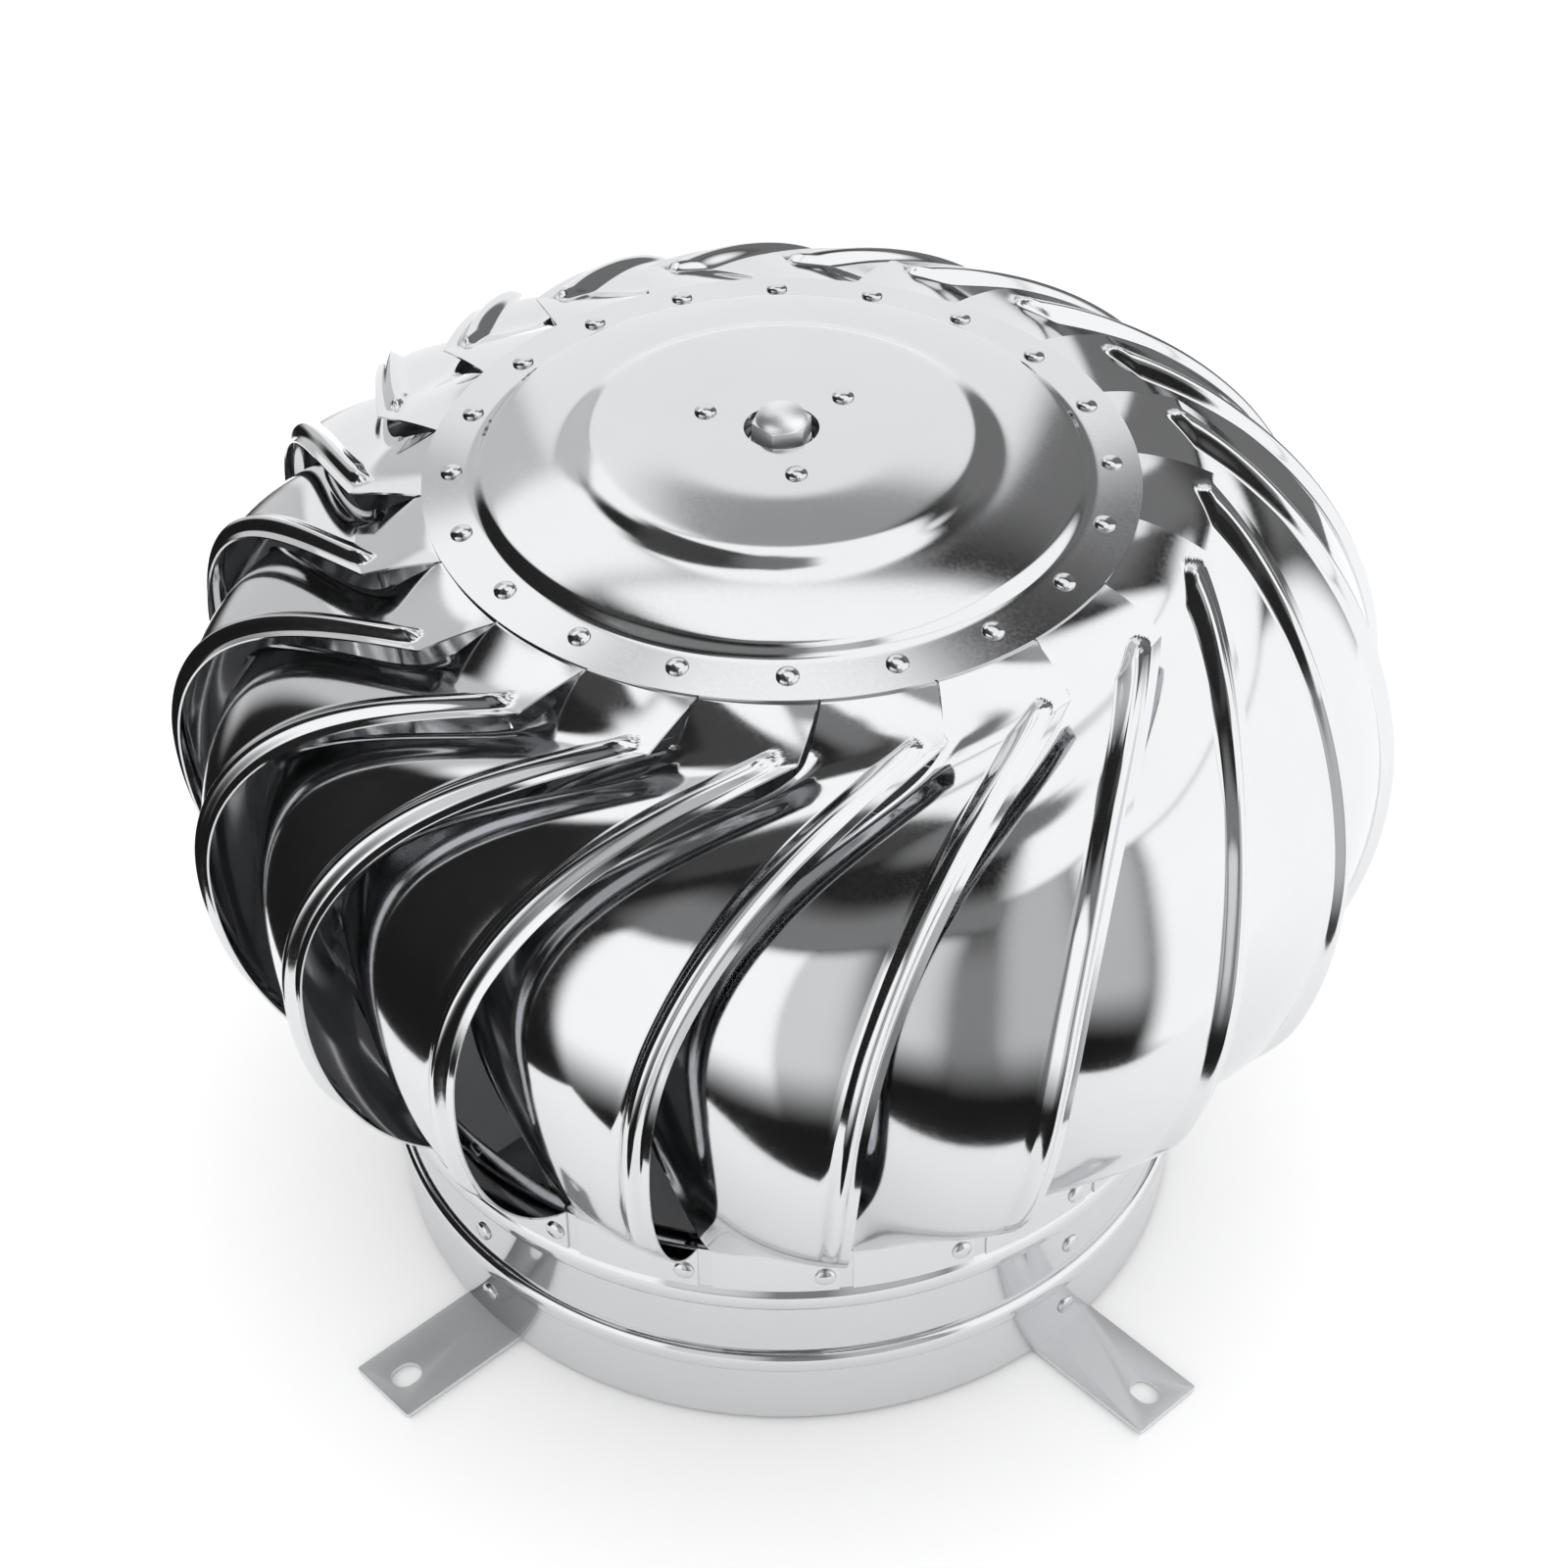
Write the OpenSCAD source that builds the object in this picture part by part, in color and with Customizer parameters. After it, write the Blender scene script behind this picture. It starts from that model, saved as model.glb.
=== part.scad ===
// Wind-driven chimney cowl: a rotor of curved sheet vanes that turns on a fixed spindle above a riveted collar.
// Millimetres. Origin: centre of the underside of the mounting straps. +Z is the rotor's axis, upwards.

/* [Collar] */
// Inside radius of the collar
throat_r = 125; // [100:1:180]
// Sheet thickness of the collar
collar_sheet = 0.8; // [0.5:0.1:1.2]
// Height of the collar from its lower edge to the top of its upper bead
collar_h = 63; // [56:1:90]
// Height of the plain neck that stands up inside the rotor's ring
neck_h = 18; // [10:1:20]
// Height of the lower bead's centre above the collar's lower edge
lower_bead_z = 26.5; // [24:0.5:30]
// Width of the lower bead
lower_bead_w = 8; // [5:0.5:10]
// How far the lower bead stands out
lower_bead_h = 2.4; // [1:0.1:3]
// Width of the upper bead
upper_bead_w = 11; // [6:0.5:14]
// How far the upper bead stands out
upper_bead_h = 4; // [2:0.1:4.5]

/* [Mounting straps] */
// Width of the flat strip
strap_w = 25; // [20:1:30]
// Thickness of the flat strip
strap_t = 1.5; // [1:0.1:2]
// How far a strap reaches out from the collar
strap_out = 43.5; // [35:0.5:80]
// Height of the leg that is riveted inside the collar
strap_leg_h = 50; // [48:1:54]
// Corner radius at a strap's outer end
strap_corner_r = 0.8; // [0.5:0.1:5]
// Distance from the end of a strap to the centre of its slot
slot_end = 9.3; // [8:0.1:14]
// Width of the slot for the fixing bolt
slot_w = 8; // [6:0.5:9]
// End-to-end length of the slot
slot_l = 10; // [9:0.5:14]

/* [Rivets] */
// Diameter of a rivet's shank
rivet_d = 3.2; // [2.4:0.1:4]
// Diameter of a rivet's head
rivet_head_d = 6.2; // [5:0.1:7]
// Height of a rivet's head
rivet_head_h = 1.4; // [0.8:0.1:2]
// Diameter of the set end of a rivet
rivet_tail_d = 4.8; // [4.4:0.1:6]
// Height of the set end of a rivet
rivet_tail_h = 2; // [1:0.1:3]
// Height of the lower strap rivet above the collar's lower edge
strap_rivet_low = 11.2; // [8:0.1:14]
// Height of the upper strap rivet above the collar's lower edge
strap_rivet_high = 39.8; // [37:0.1:42]

/* [Cross bars and clamp] */
// Thickness of the cross bars' flat strip
bar_t = 2; // [1.5:0.1:3]
// Height of a cross bar's flat above its upper strap rivet
bar_rise = 9; // [8:0.5:14]
// Side of the two square clamp plates
clamp_w = 62; // [56:1:76]
// Thickness of a clamp plate
clamp_t = 3; // [2:0.1:4]
// Distance of the clamp bolts from the axis, along X and along Y
clamp_bolt_xy = 20; // [19:0.5:22]
// Shank diameter of a clamp bolt
clamp_bolt_d = 6; // [4:0.5:6]

/* [Spindle and bearings] */
// Diameter of the spindle's bearing seats
journal_d = 12; // [12:0.5:15]
// Diameter of the spindle's thick middle length
spindle_d = 18; // [17.5:0.5:20]
// Diameter of the spindle's threaded top end
stub_d = 8; // [6:0.5:10]
// Outside diameter of a ball bearing
bearing_d = 32; // [32:0.5:36]
// Width of a ball bearing
bearing_w = 10; // [9:0.5:11]
// Radial thickness of a bearing's rings at their edges
race_t = 3.1; // [2.5:0.1:3.3]
// Diameter of a bearing ball
ball_d = 6; // [5.5:0.1:6.2]
// Number of balls in a bearing
ball_count = 7; // [5:1:8]
// Free length between the two bearings
bearing_gap = 20; // [12:1:40]
// Wall of the bearing housing
housing_wall = 3; // [2:0.5:5]
// Diameter of the housing's flange
housing_flange_d = 60; // [58:1:80]
// Thickness of the housing's flange
housing_flange_t = 3; // [2:0.5:5]
// Radius of the circle of hub rivets
hub_rivet_r = 22.5; // [22:0.5:26]

/* [Top plate] */
// Height of the rim above the strap's underside
rim_z = 262; // [240:1:300]
// Radius of the rim
rim_r = 100.4; // [96:0.1:104]
// Sheet thickness of the top plate
plate_sheet = 0.8; // [0.5:0.1:1.2]
// Radial width of the riveted flange
flange_w = 14.7; // [13:0.1:16]
// Slope of the flange
flange_slope = 9; // [4:1:12]
// Distance of the vane rivets from the rim
flange_rivet_in = 8.3; // [7:0.1:9]
// Height of the riser at the flange's inner edge
riser_h = 4.6; // [3:0.1:6]
// Rise of the crowned band from the riser to the inner step
band_rise = 3.4; // [2:0.1:5]
// Radius of the inner step
step_r = 58; // [50:1:64]
// Height of the inner step
step_h = 2.4; // [1:0.1:4]
// Rise of the centre disc from the step to the hub
disc_rise = 2.2; // [1:0.1:4]
// Diameter of the hole over the spindle
hub_hole_d = 21; // [19:0.5:24]

/* [Vanes] */
// Number of vanes
vane_count = 20; // [16:1:24]
// Sheet thickness of a vane
vane_sheet = 0.6; // [0.4:0.1:0.8]
// Largest radius of the rotor
head_r = 177.3; // [165:0.5:190]
// Height of the largest radius
belly_z = 177; // [165:1:190]
// Horizontal half-axis of the curve below the belly
belly_in = 79; // [70:1:85]
// Angle down the upper curve at which the free edge begins
shoulder_t = 15.6; // [14:0.1:20]
// Sweep of the free edge around the axis, shoulder to tab
vane_sweep = 33.6; // [25:0.1:38]
// Angle along the curve over which the sweep dies away
sweep_decay = 29; // [24:1:40]
// Angle by which the free edge turns back again below the belly
sweep_back = 2.6; // [0:0.1:5]
// Angle by which the top tab leans against the sweep
tab_lean = 3.5; // [2:0.1:5]
// How deep the hidden edge lies under the shoulder
shoulder_drop = 9; // [5:0.1:11]
// How deep the hidden edge lies behind the belly
scoop_depth = 22.5; // [15:0.5:26]
// Share of the vane pitch that the bottom tab takes
tab_share = 0.9; // [0.7:0.01:0.95]
// Share of a vane pitch by which the vanes overlap at the belly
lap_share = 0.2; // [0.1:0.01:0.3]
// Distance of the stiffening rib from the free edge
rib_in = 2.2; // [1.5:0.1:4]
// Width of the stiffening rib
rib_w = 6.5; // [4:0.5:8]
// Height of the stiffening rib
rib_h = 2.6; // [1:0.1:3]

/* [Rotor ring] */
// Radial gap between the collar's neck and the ring
ring_gap = 3.4; // [1.5:0.1:4]
// Sheet thickness of the ring
ring_sheet = 0.8; // [0.5:0.1:1.2]
// Height of the vanes' bottom tabs
tab_h = 15.5; // [13:0.5:20]
// Clear height between the upper bead and the rotor
rotor_lift = 1; // [0.8:0.1:2]
// Height of the tab rivets above the ring's lower edge
tab_rivet_z = 6; // [5:0.1:7]
// Angle from the free edge to the tab rivet
tab_rivet_a = 1.8; // [1.5:0.1:4]
// Height of the set end of a tab rivet, kept flat to clear the neck
tab_rivet_tail_h = 1; // [0.8:0.1:1.2]

/* [Hidden] */
$fn = 96;
fit = 0.05;
collar_z = strap_t;
collar_r = throat_r + collar_sheet;
bead_steps = 8;
neck_top = collar_z + collar_h + neck_h;
lower_rivet_z = collar_z + strap_rivet_low;
upper_rivet_z = collar_z + strap_rivet_high;

leg_r = throat_r - fit;
leg_in_r = leg_r - strap_t;
bend_r = strap_t + 1;
strap_end = collar_r + strap_out;
slot_r = strap_end - slot_end;

bar_r = leg_in_r - fit;
bar_tab_down = 8;
bar_bottom = upper_rivet_z + bar_rise;
bar_top = bar_bottom + 2 * bar_t;
clamp_bottom = bar_bottom - clamp_t;
clamp_top = bar_top + clamp_t;
clamp_corner_r = 3;
bolt_head_share = 0.65;
bolt_across_share = 1.8;
nut_share = 0.8;
bolt_head_h = bolt_head_share * clamp_bolt_d;
bolt_head_d = bolt_across_share * clamp_bolt_d;
nut_h = nut_share * clamp_bolt_d;
thread_over = 2;

journal_r = journal_d / 2;
spindle_nut_d = 22;
spindle_nut_h = 8;
washer_t = 1.5;
washer_wide = 2;
spindle_bottom = clamp_bottom - washer_t - spindle_nut_h - thread_over;

flange_r = rim_r - flange_w;
flange_rise = flange_w * tan(flange_slope);
riser_run = 1.8;
riser_top = rim_z + flange_rise + riser_h;
step_run = 1.4;
step_z = riser_top + band_rise;
disc_z = step_z + step_h;
hub_z = disc_z + disc_rise;
hub_flat_r = housing_flange_d / 2 + 1;
vane_rivet_r = rim_r - flange_rivet_in;
vane_rivet_top = rim_z + flange_rivet_in * tan(flange_slope);

housing_top = hub_z - plate_sheet - fit;
housing_lip = 3;
housing_lip_r = 11;
bearing_r = bearing_d / 2;
bearing_fit = 0.02;
upper_bearing_z = housing_top - housing_lip - fit - bearing_w;
lower_bearing_z = upper_bearing_z - bearing_gap - bearing_w;
circlip_t = 1.2;
circlip_grip = 1.2;
circlip_in = 2.4;
housing_bottom = lower_bearing_z - circlip_t - 3;
ball_ring_r = (journal_r + bearing_r) / 2;
ball_play = 0.04;
cage_t = 1;
cage_gap = 0.05;
shield_t = 0.5;
shield_gap = 0.3;
stub_top = upper_bearing_z + bearing_w + washer_t + 6;
cap_hex_d = 17;
cap_hex_h = 5;
cap_dome_h = 4;
cap_dome_r = 7.2;
cap_z = upper_bearing_z + bearing_w + fit + washer_t;
cap_washer_r = journal_r + race_t - 0.6;
spacer_t = race_t - 1;

ring_r = collar_r + ring_gap;
ring_out = ring_r + ring_sheet;
tab_r = ring_out + fit + vane_sheet;
ring_bottom = collar_z + collar_h + rotor_lift;
crease_z = ring_bottom + tab_h;
tab_turn = sweep_back - vane_sweep;
tab_rivet_height = ring_bottom + tab_rivet_z;

vane_pitch = 360 / vane_count;
tab_gap = 0.4;
curve_r = rim_r;
curve_top = rim_z - plate_sheet - fit;
curve_w = head_r - curve_r;
curve_h = curve_top - belly_z;
lower_r = head_r - belly_in;
crease_t = acos((tab_r - lower_r) / belly_in);
lower_h = (belly_z - crease_z) / sin(crease_t);
vane_end_t = 90 + crease_t;
vane_rows = 13;
flat_cols = 4;
tab_inner_r = flange_r + 1;
rib_end = 0.72;
scoop_start = 0.35;
scoop_skew = 1.8;
back_start_t = 70;
back_skew = 1.3;
disc_steps = 4;
band_steps = 5;
shoulder_a = 12.7;
rivet_lag = 0.9;
hole_reach = 8;
hub_rivet_count = 3;
hub_rivet_turn = 87.1;

function vane_name(i) = str("vane_", i < 10 ? "0" : "", i);

// A sheet's closed section: the line p, and the same line moved t to its right
function way(p, i) = (p[i + 1] - p[i]) / norm(p[i + 1] - p[i]);
function right(v) = [v[1], -v[0]];
function corner(p, i, t) =
    let (last = len(p) - 1,
         a = right(way(p, max(i - 1, 0))),
         b = right(way(p, min(i, last - 1))),
         m = (a + b) / norm(a + b))
    p[i] + m * t / (m * a);
function sheet(p, t) = concat(p, [for (i = [len(p) - 1:-1:0]) corner(p, i, t)]);
function arc(c, r, a0, a1, n = 6) =
    [for (i = [0:n]) let (a = a0 + (a1 - a0) * i / n) c + r * [cos(a), sin(a)]];

// Outer line of a bead that is rolled outwards into a wall
function bead(r, z, w, h) =
    [for (i = [0:bead_steps]) let (a = 180 * i / bead_steps) [r + h * sin(a), z - w / 2 * cos(a)]];
function collar_line() = concat(
    [[collar_r, collar_z]],
    bead(collar_r, collar_z + lower_bead_z, lower_bead_w, lower_bead_h),
    bead(collar_r, collar_z + collar_h - upper_bead_w / 2, upper_bead_w, upper_bead_h),
    [[collar_r, neck_top]]);

// Top side of the top plate, from the hub hole to the rim
function plate_line() = concat(
    [[hub_hole_d / 2, hub_z], [hub_flat_r, hub_z]],
    [for (i = [1:disc_steps]) let (x = i / disc_steps)
        [hub_flat_r + (step_r - step_run - hub_flat_r) * x, hub_z - disc_rise * x * x]],
    [for (i = [0:band_steps]) let (x = i / band_steps)
        [step_r + (flange_r - riser_run - step_r) * x, step_z - band_rise * x * x]],
    [[flange_r, rim_z + flange_rise], [rim_r, rim_z]]);
function under_flange(r) =
    rim_z + (rim_r - r) * tan(flange_slope) - (plate_sheet + fit) / cos(flange_slope);

// Meridian of the rotor: t is 0 at the rim, 90 at the belly and vane_end_t at the tabs' crease
function axes(t) = t <= 90 ? [curve_w, curve_h] : [belly_in, lower_h];
function meridian(t) =
    (t <= 90 ? [curve_r, belly_z] : [lower_r, belly_z]) + [axes(t)[0] * sin(t), axes(t)[1] * cos(t)];
function outward(t) =
    let (n = [axes(t)[1] * sin(t), axes(t)[0] * cos(t)]) n / norm(n);
function along(t) = (t - shoulder_t) / (vane_end_t - shoulder_t);
function turned_back(t) =
    sweep_back * pow(max(t - back_start_t, 0) / (vane_end_t - back_start_t), back_skew);
function sweep(t) =
    turned_back(t) - vane_sweep * (1 - exp(-(t - shoulder_t) / sweep_decay))
    / (1 - exp(-(vane_end_t - shoulder_t) / sweep_decay));
function vane_width(t) =
    let (x = along(t), top = vane_pitch - tab_gap, bottom = vane_pitch * tab_share)
    top + (bottom - top) * x + (vane_pitch * (1 + lap_share) - (top + bottom) / 2) * sin(180 * x);
function vane_depth(t) =
    let (x = along(t)) shoulder_drop * (1 - x) + scoop_depth * sin(180 * pow(x, scoop_skew));
function rib_height(t) = along(t) > 0 && along(t) < rib_end ? rib_h : 0;

// How much wider the slanted strip measures when it is cut level
function slant(t) =
    let (turn = vane_sweep / sweep_decay * exp(-(t - shoulder_t) / sweep_decay),
         run = norm([axes(t)[0] * cos(t), axes(t)[1] * sin(t)]))
    norm([1, meridian(t)[0] * turn / run]);

// Columns across a vane as [share of its width, share of the rib's height]
function columns(t) =
    let (unit = slant(t) / meridian(t)[0] * 180 / PI / vane_width(t),
         start = (rib_in + rib_w) * unit)
    concat(
        [[0, 0], [rib_in * unit, 0], [(rib_in + rib_w / 4) * unit, 1],
         [(rib_in + rib_w * 3 / 4) * unit, 1], [start, 0]],
        [for (i = [1:flat_cols]) [start + (1 - start) * i / flat_cols, 0]]);
function polar(r, a, z) = [r * cos(a), r * sin(a), z];
function curve_row(t) =
    [for (c = columns(t))
        let (d = vane_depth(t) * (scoop_start * c[0] + (1 - scoop_start) * c[0] * c[0]),
             p = meridian(t) + outward(t) * (rib_height(t) * c[1] - d))
        polar(p[0], sweep(t) - vane_width(t) * c[0], p[1])];
function tab_row(r, z, a) =
    [for (c = columns(shoulder_t)) polar(r, a - (vane_pitch - tab_gap) * c[0], z)];
function neck_row(x) =
    let (t = shoulder_t * x, m = meridian(t), n = outward(t))
    [for (c = columns(shoulder_t))
        let (p = m - n * shoulder_drop * x * (scoop_start * c[0] + (1 - scoop_start) * c[0] * c[0]))
        polar(p[0], tab_lean * (1 - x) - (vane_pitch - tab_gap) * c[0], p[1])];
function bottom_row() =
    [for (c = columns(vane_end_t))
        polar(tab_r, tab_turn - vane_width(vane_end_t) * c[0], ring_bottom)];
function vane_rows_all() = concat(
    [tab_row(tab_inner_r, under_flange(tab_inner_r), tab_lean)],
    [tab_row(rim_r, under_flange(rim_r), tab_lean), neck_row(0.5)],
    [for (i = [0:vane_rows]) curve_row(shoulder_t + (vane_end_t - shoulder_t) * i / vane_rows)],
    [bottom_row()]);

// The back of the sheet: every point moved vane_sheet inwards, square to the surface
function grid_normal(g, i, j) =
    let (rows = len(g) - 1, cols = len(g[0]) - 1,
         down = g[min(i + 1, rows)][j] - g[max(i - 1, 0)][j],
         across = g[i][min(j + 1, cols)] - g[i][max(j - 1, 0)],
         n = cross(down, across))
    n / norm(n);
function grid_back(g, t) =
    [for (i = [0:len(g) - 1]) [for (j = [0:len(g[0]) - 1]) g[i][j] + grid_normal(g, i, j) * t]];
function flat(g) = [for (row = g) for (p = row) p];
function quad(a, b, c, d) = [[a, b, c], [a, c, d]];
function grid_faces(n, m) =
    let (back = n * m,
         skin = [for (i = [0:n - 2]) for (j = [0:m - 2])
             let (a = i * m + j)
             each concat(quad(a, a + 1, a + m + 1, a + m),
                         quad(back + a, back + a + m, back + a + m + 1, back + a + 1))],
         sides = [for (i = [0:n - 2])
             let (a = i * m, b = i * m + m - 1)
             each concat(quad(a, a + m, back + a + m, back + a),
                         quad(b, back + b, back + b + m, b + m))],
         ends = [for (j = [0:m - 2])
             let (a = j, b = (n - 1) * m + j)
             each concat(quad(a, back + a, back + a + 1, a + 1),
                         quad(b, b + 1, back + b + 1, back + b))])
    concat(skin, sides, ends);

module around(count, start = 0) {
    for (i = [0:count - 1]) rotate([0, 0, start + i * 360 / count]) children();
}

module radial(r, z) {
    translate([r, 0, z]) rotate([0, 90, 0]) children();
}

module tube(r_out, r_in, h) {
    difference() {
        cylinder(r = r_out, h = h);
        translate([0, 0, -1]) cylinder(r = r_in, h = h + 2);
    }
}

// A set rivet: z = 0 is the outer face of the stack that it holds
module rivet(grip, tail_h = rivet_tail_h) {
    rotate_extrude($fn = 32) polygon(concat(
        [[0, -grip - fit - tail_h], [rivet_tail_d / 2, -grip - fit - tail_h],
         [rivet_tail_d / 2, -grip - fit], [rivet_d / 2, -grip - fit], [rivet_d / 2, fit]],
        [for (a = [0:18:90]) [rivet_head_d / 2 * cos(a), fit + rivet_head_h * sin(a)]]));
}

module rivet_hole(depth) {
    translate([0, 0, -depth]) cylinder(d = rivet_d + 2 * fit, h = depth + 2, $fn = 32);
}

module on_straps(z) {
    around(4) radial(collar_r, z) children();
}

module base_collar() {
    color("gainsboro") difference() {
        rotate_extrude() polygon(sheet(collar_line(), -collar_sheet));
        on_straps(lower_rivet_z) rivet_hole(hole_reach);
        on_straps(upper_rivet_z) rivet_hole(hole_reach);
    }
}

module strap_plan() {
    c = strap_corner_r;
    difference() {
        union() {
            translate([leg_r, -strap_w / 2]) square([strap_end - leg_r - c, strap_w]);
            translate([leg_r, -strap_w / 2 + c]) square([strap_end - leg_r, strap_w - 2 * c]);
            for (s = [-1, 1]) translate([strap_end - c, s * (strap_w / 2 - c)]) circle(c);
        }
        for (s = [-1, 1]) translate([slot_r + s * (slot_l - slot_w) / 2, 0]) circle(d = slot_w);
        translate([slot_r - (slot_l - slot_w) / 2, -slot_w / 2]) square([slot_l - slot_w, slot_w]);
    }
}

module strap(a) {
    color("silver") rotate([0, 0, a]) difference() {
        union() {
            linear_extrude(strap_t) strap_plan();
            intersection() {
                rotate_extrude() polygon(concat(
                    [[leg_r + 1, 0], [leg_r + 1, strap_t], [leg_r, strap_t], [leg_r, strap_leg_h],
                     [leg_in_r, strap_leg_h]],
                    arc([leg_in_r + bend_r, bend_r], bend_r, 180, 270)));
                translate([0, -strap_w / 2, -1]) cube([strap_end, strap_w, strap_leg_h + 2]);
            }
        }
        for (z = [lower_rivet_z, upper_rivet_z]) radial(collar_r, z) rivet_hole(hole_reach);
    }
}

module strap_rivets() {
    color("whitesmoke") {
        on_straps(lower_rivet_z) rivet(collar_r - leg_in_r);
        on_straps(upper_rivet_z) rivet(collar_r - bar_r + bar_t);
    }
}

// A strip across the throat with its ends bent down onto the straps' legs
module cross_bar(a, level) {
    top = bar_bottom + (level + 1) * bar_t;
    color("darkgray") rotate([0, 0, a]) difference() {
        intersection() {
            rotate_extrude() polygon(concat(
                [[0, top - bar_t], [bar_r - bar_t, top - bar_t],
                 [bar_r - bar_t, upper_rivet_z - bar_tab_down], [bar_r, upper_rivet_z - bar_tab_down]],
                arc([bar_r - bend_r, top - bend_r], bend_r, 0, 90),
                [[0, top]]));
            translate([-collar_r, -strap_w / 2, 0]) cube([2 * collar_r, strap_w, top + 1]);
        }
        for (t = [0, 180]) rotate([0, 0, t]) radial(collar_r, upper_rivet_z) rivet_hole(hole_reach);
        cylinder(r = journal_r + fit, h = top + 1);
    }
}

module clamp_plate(z) {
    c = clamp_corner_r;
    color("darkgray") translate([0, 0, z]) difference() {
        linear_extrude(clamp_t) {
            square([clamp_w, clamp_w - 2 * c], center = true);
            square([clamp_w - 2 * c, clamp_w], center = true);
            around(4, 45) translate([(clamp_w / 2 - c) * sqrt(2), 0]) circle(c);
        }
        translate([0, 0, -1]) {
            cylinder(r = journal_r + fit, h = clamp_t + 2);
            at_clamp_bolts() cylinder(d = clamp_bolt_d + 2 * fit, h = clamp_t + 2);
        }
    }
}

module at_clamp_bolts() {
    around(4, 45) translate([clamp_bolt_xy * sqrt(2), 0, 0]) children();
}

module clamp_bolts() {
    color("silver") at_clamp_bolts() {
        translate([0, 0, clamp_top]) cylinder(d = bolt_head_d, h = bolt_head_h, $fn = 6);
        translate([0, 0, clamp_bottom - nut_h - thread_over])
            cylinder(d = clamp_bolt_d, h = clamp_top - clamp_bottom + nut_h + thread_over + 1);
    }
}

module clamp_nuts() {
    color("silver") at_clamp_bolts() translate([0, 0, clamp_bottom - nut_h]) difference() {
        cylinder(d = bolt_head_d, h = nut_h, $fn = 6);
        translate([0, 0, -1]) cylinder(d = clamp_bolt_d + 2 * fit, h = nut_h + 2);
    }
}

module spindle() {
    color("lightgray") rotate_extrude() polygon([
        [0, spindle_bottom], [journal_r - 1, spindle_bottom], [journal_r, spindle_bottom + 1],
        [journal_r, clamp_top], [spindle_d / 2, clamp_top], [spindle_d / 2, lower_bearing_z],
        [journal_r, lower_bearing_z], [journal_r, upper_bearing_z + bearing_w],
        [stub_d / 2, upper_bearing_z + bearing_w], [stub_d / 2, stub_top - 1],
        [stub_d / 2 - 1, stub_top], [0, stub_top]]);
}

module spindle_washer() {
    color("silver") translate([0, 0, clamp_bottom - washer_t])
        tube(spindle_nut_d / 2 + washer_wide, journal_r + fit, washer_t);
}

module spindle_nut() {
    color("silver") translate([0, 0, clamp_bottom - washer_t - spindle_nut_h]) difference() {
        cylinder(d = spindle_nut_d, h = spindle_nut_h, $fn = 6);
        translate([0, 0, -1]) cylinder(r = journal_r + fit, h = spindle_nut_h + 2);
    }
}

module at_bearings() {
    for (z = [lower_bearing_z, upper_bearing_z]) translate([0, 0, z + bearing_w / 2]) children();
}

module race(r_in, r_out) {
    rotate_extrude() difference() {
        translate([r_in, -bearing_w / 2]) square([r_out - r_in, bearing_w]);
        translate([ball_ring_r, 0]) circle(r = ball_d / 2 + ball_play, $fn = 48);
    }
}

module bearing_inner_rings() {
    color("lightsteelblue") at_bearings() race(journal_r + bearing_fit, journal_r + race_t);
}

module bearing_outer_rings() {
    color("lightsteelblue") at_bearings() race(bearing_r - race_t, bearing_r);
}

module bearing_balls() {
    color("white") at_bearings() around(ball_count)
        translate([ball_ring_r, 0, 0]) sphere(d = ball_d, $fn = 32);
}

module bearing_cages() {
    color("goldenrod") at_bearings() difference() {
        translate([0, 0, -ball_d / 2 - cage_t]) difference() {
            cylinder(r = ball_ring_r + cage_t / 2, h = ball_d + 2 * cage_t);
            translate([0, 0, -1]) cylinder(r = ball_ring_r - cage_t / 2, h = ball_d + 2 * cage_t + 2);
        }
        around(ball_count) radial(ball_ring_r - cage_t, 0) cylinder(r = ball_d / 2 + cage_gap, h = 2 * cage_t);
    }
}

module bearing_shields() {
    color("dimgray") at_bearings() for (s = [0, 1]) mirror([0, 0, s])
        translate([0, 0, bearing_w / 2 - shield_t])
            tube(bearing_r - race_t - fit, journal_r + race_t + shield_gap, shield_t);
}

module inner_spacer() {
    color("silver") translate([0, 0, lower_bearing_z + bearing_w])
        tube(journal_r + spacer_t, journal_r + fit, bearing_gap);
}

module outer_spacer() {
    color("silver") translate([0, 0, lower_bearing_z + bearing_w])
        tube(bearing_r, bearing_r - spacer_t, bearing_gap);
}

module cap_washer() {
    color("silver") translate([0, 0, cap_z - washer_t])
        tube(cap_washer_r, stub_d / 2 + fit, washer_t);
}

module spindle_cap() {
    color("whitesmoke") translate([0, 0, cap_z]) difference() {
        union() {
            cylinder(d = cap_hex_d, h = cap_hex_h, $fn = 6);
            rotate_extrude() polygon(concat(
                [[0, 1], [cap_dome_r, 1]],
                [for (a = [0:15:90]) [cap_dome_r * cos(a), cap_hex_h + cap_dome_h * sin(a)]]));
        }
        translate([0, 0, -1]) cylinder(r = stub_d / 2 + fit, h = stub_top - cap_z + fit + 1);
    }
}

module bearing_housing() {
    wall_r = bearing_r + bearing_fit + housing_wall;
    seat_r = bearing_r + bearing_fit;
    groove = lower_bearing_z - fit;
    color("silver") difference() {
        rotate_extrude() polygon([
            [seat_r, housing_bottom], [wall_r, housing_bottom], [wall_r, housing_top - housing_flange_t],
            [housing_flange_d / 2, housing_top - housing_flange_t], [housing_flange_d / 2, housing_top],
            [housing_lip_r, housing_top], [housing_lip_r, housing_top - housing_lip],
            [seat_r, housing_top - housing_lip], [seat_r, groove],
            [seat_r + circlip_grip, groove], [seat_r + circlip_grip, groove - circlip_t - fit],
            [seat_r, groove - circlip_t - fit]]);
        at_hub_rivets(housing_top) rivet_hole(housing_flange_t + 1);
    }
}

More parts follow.
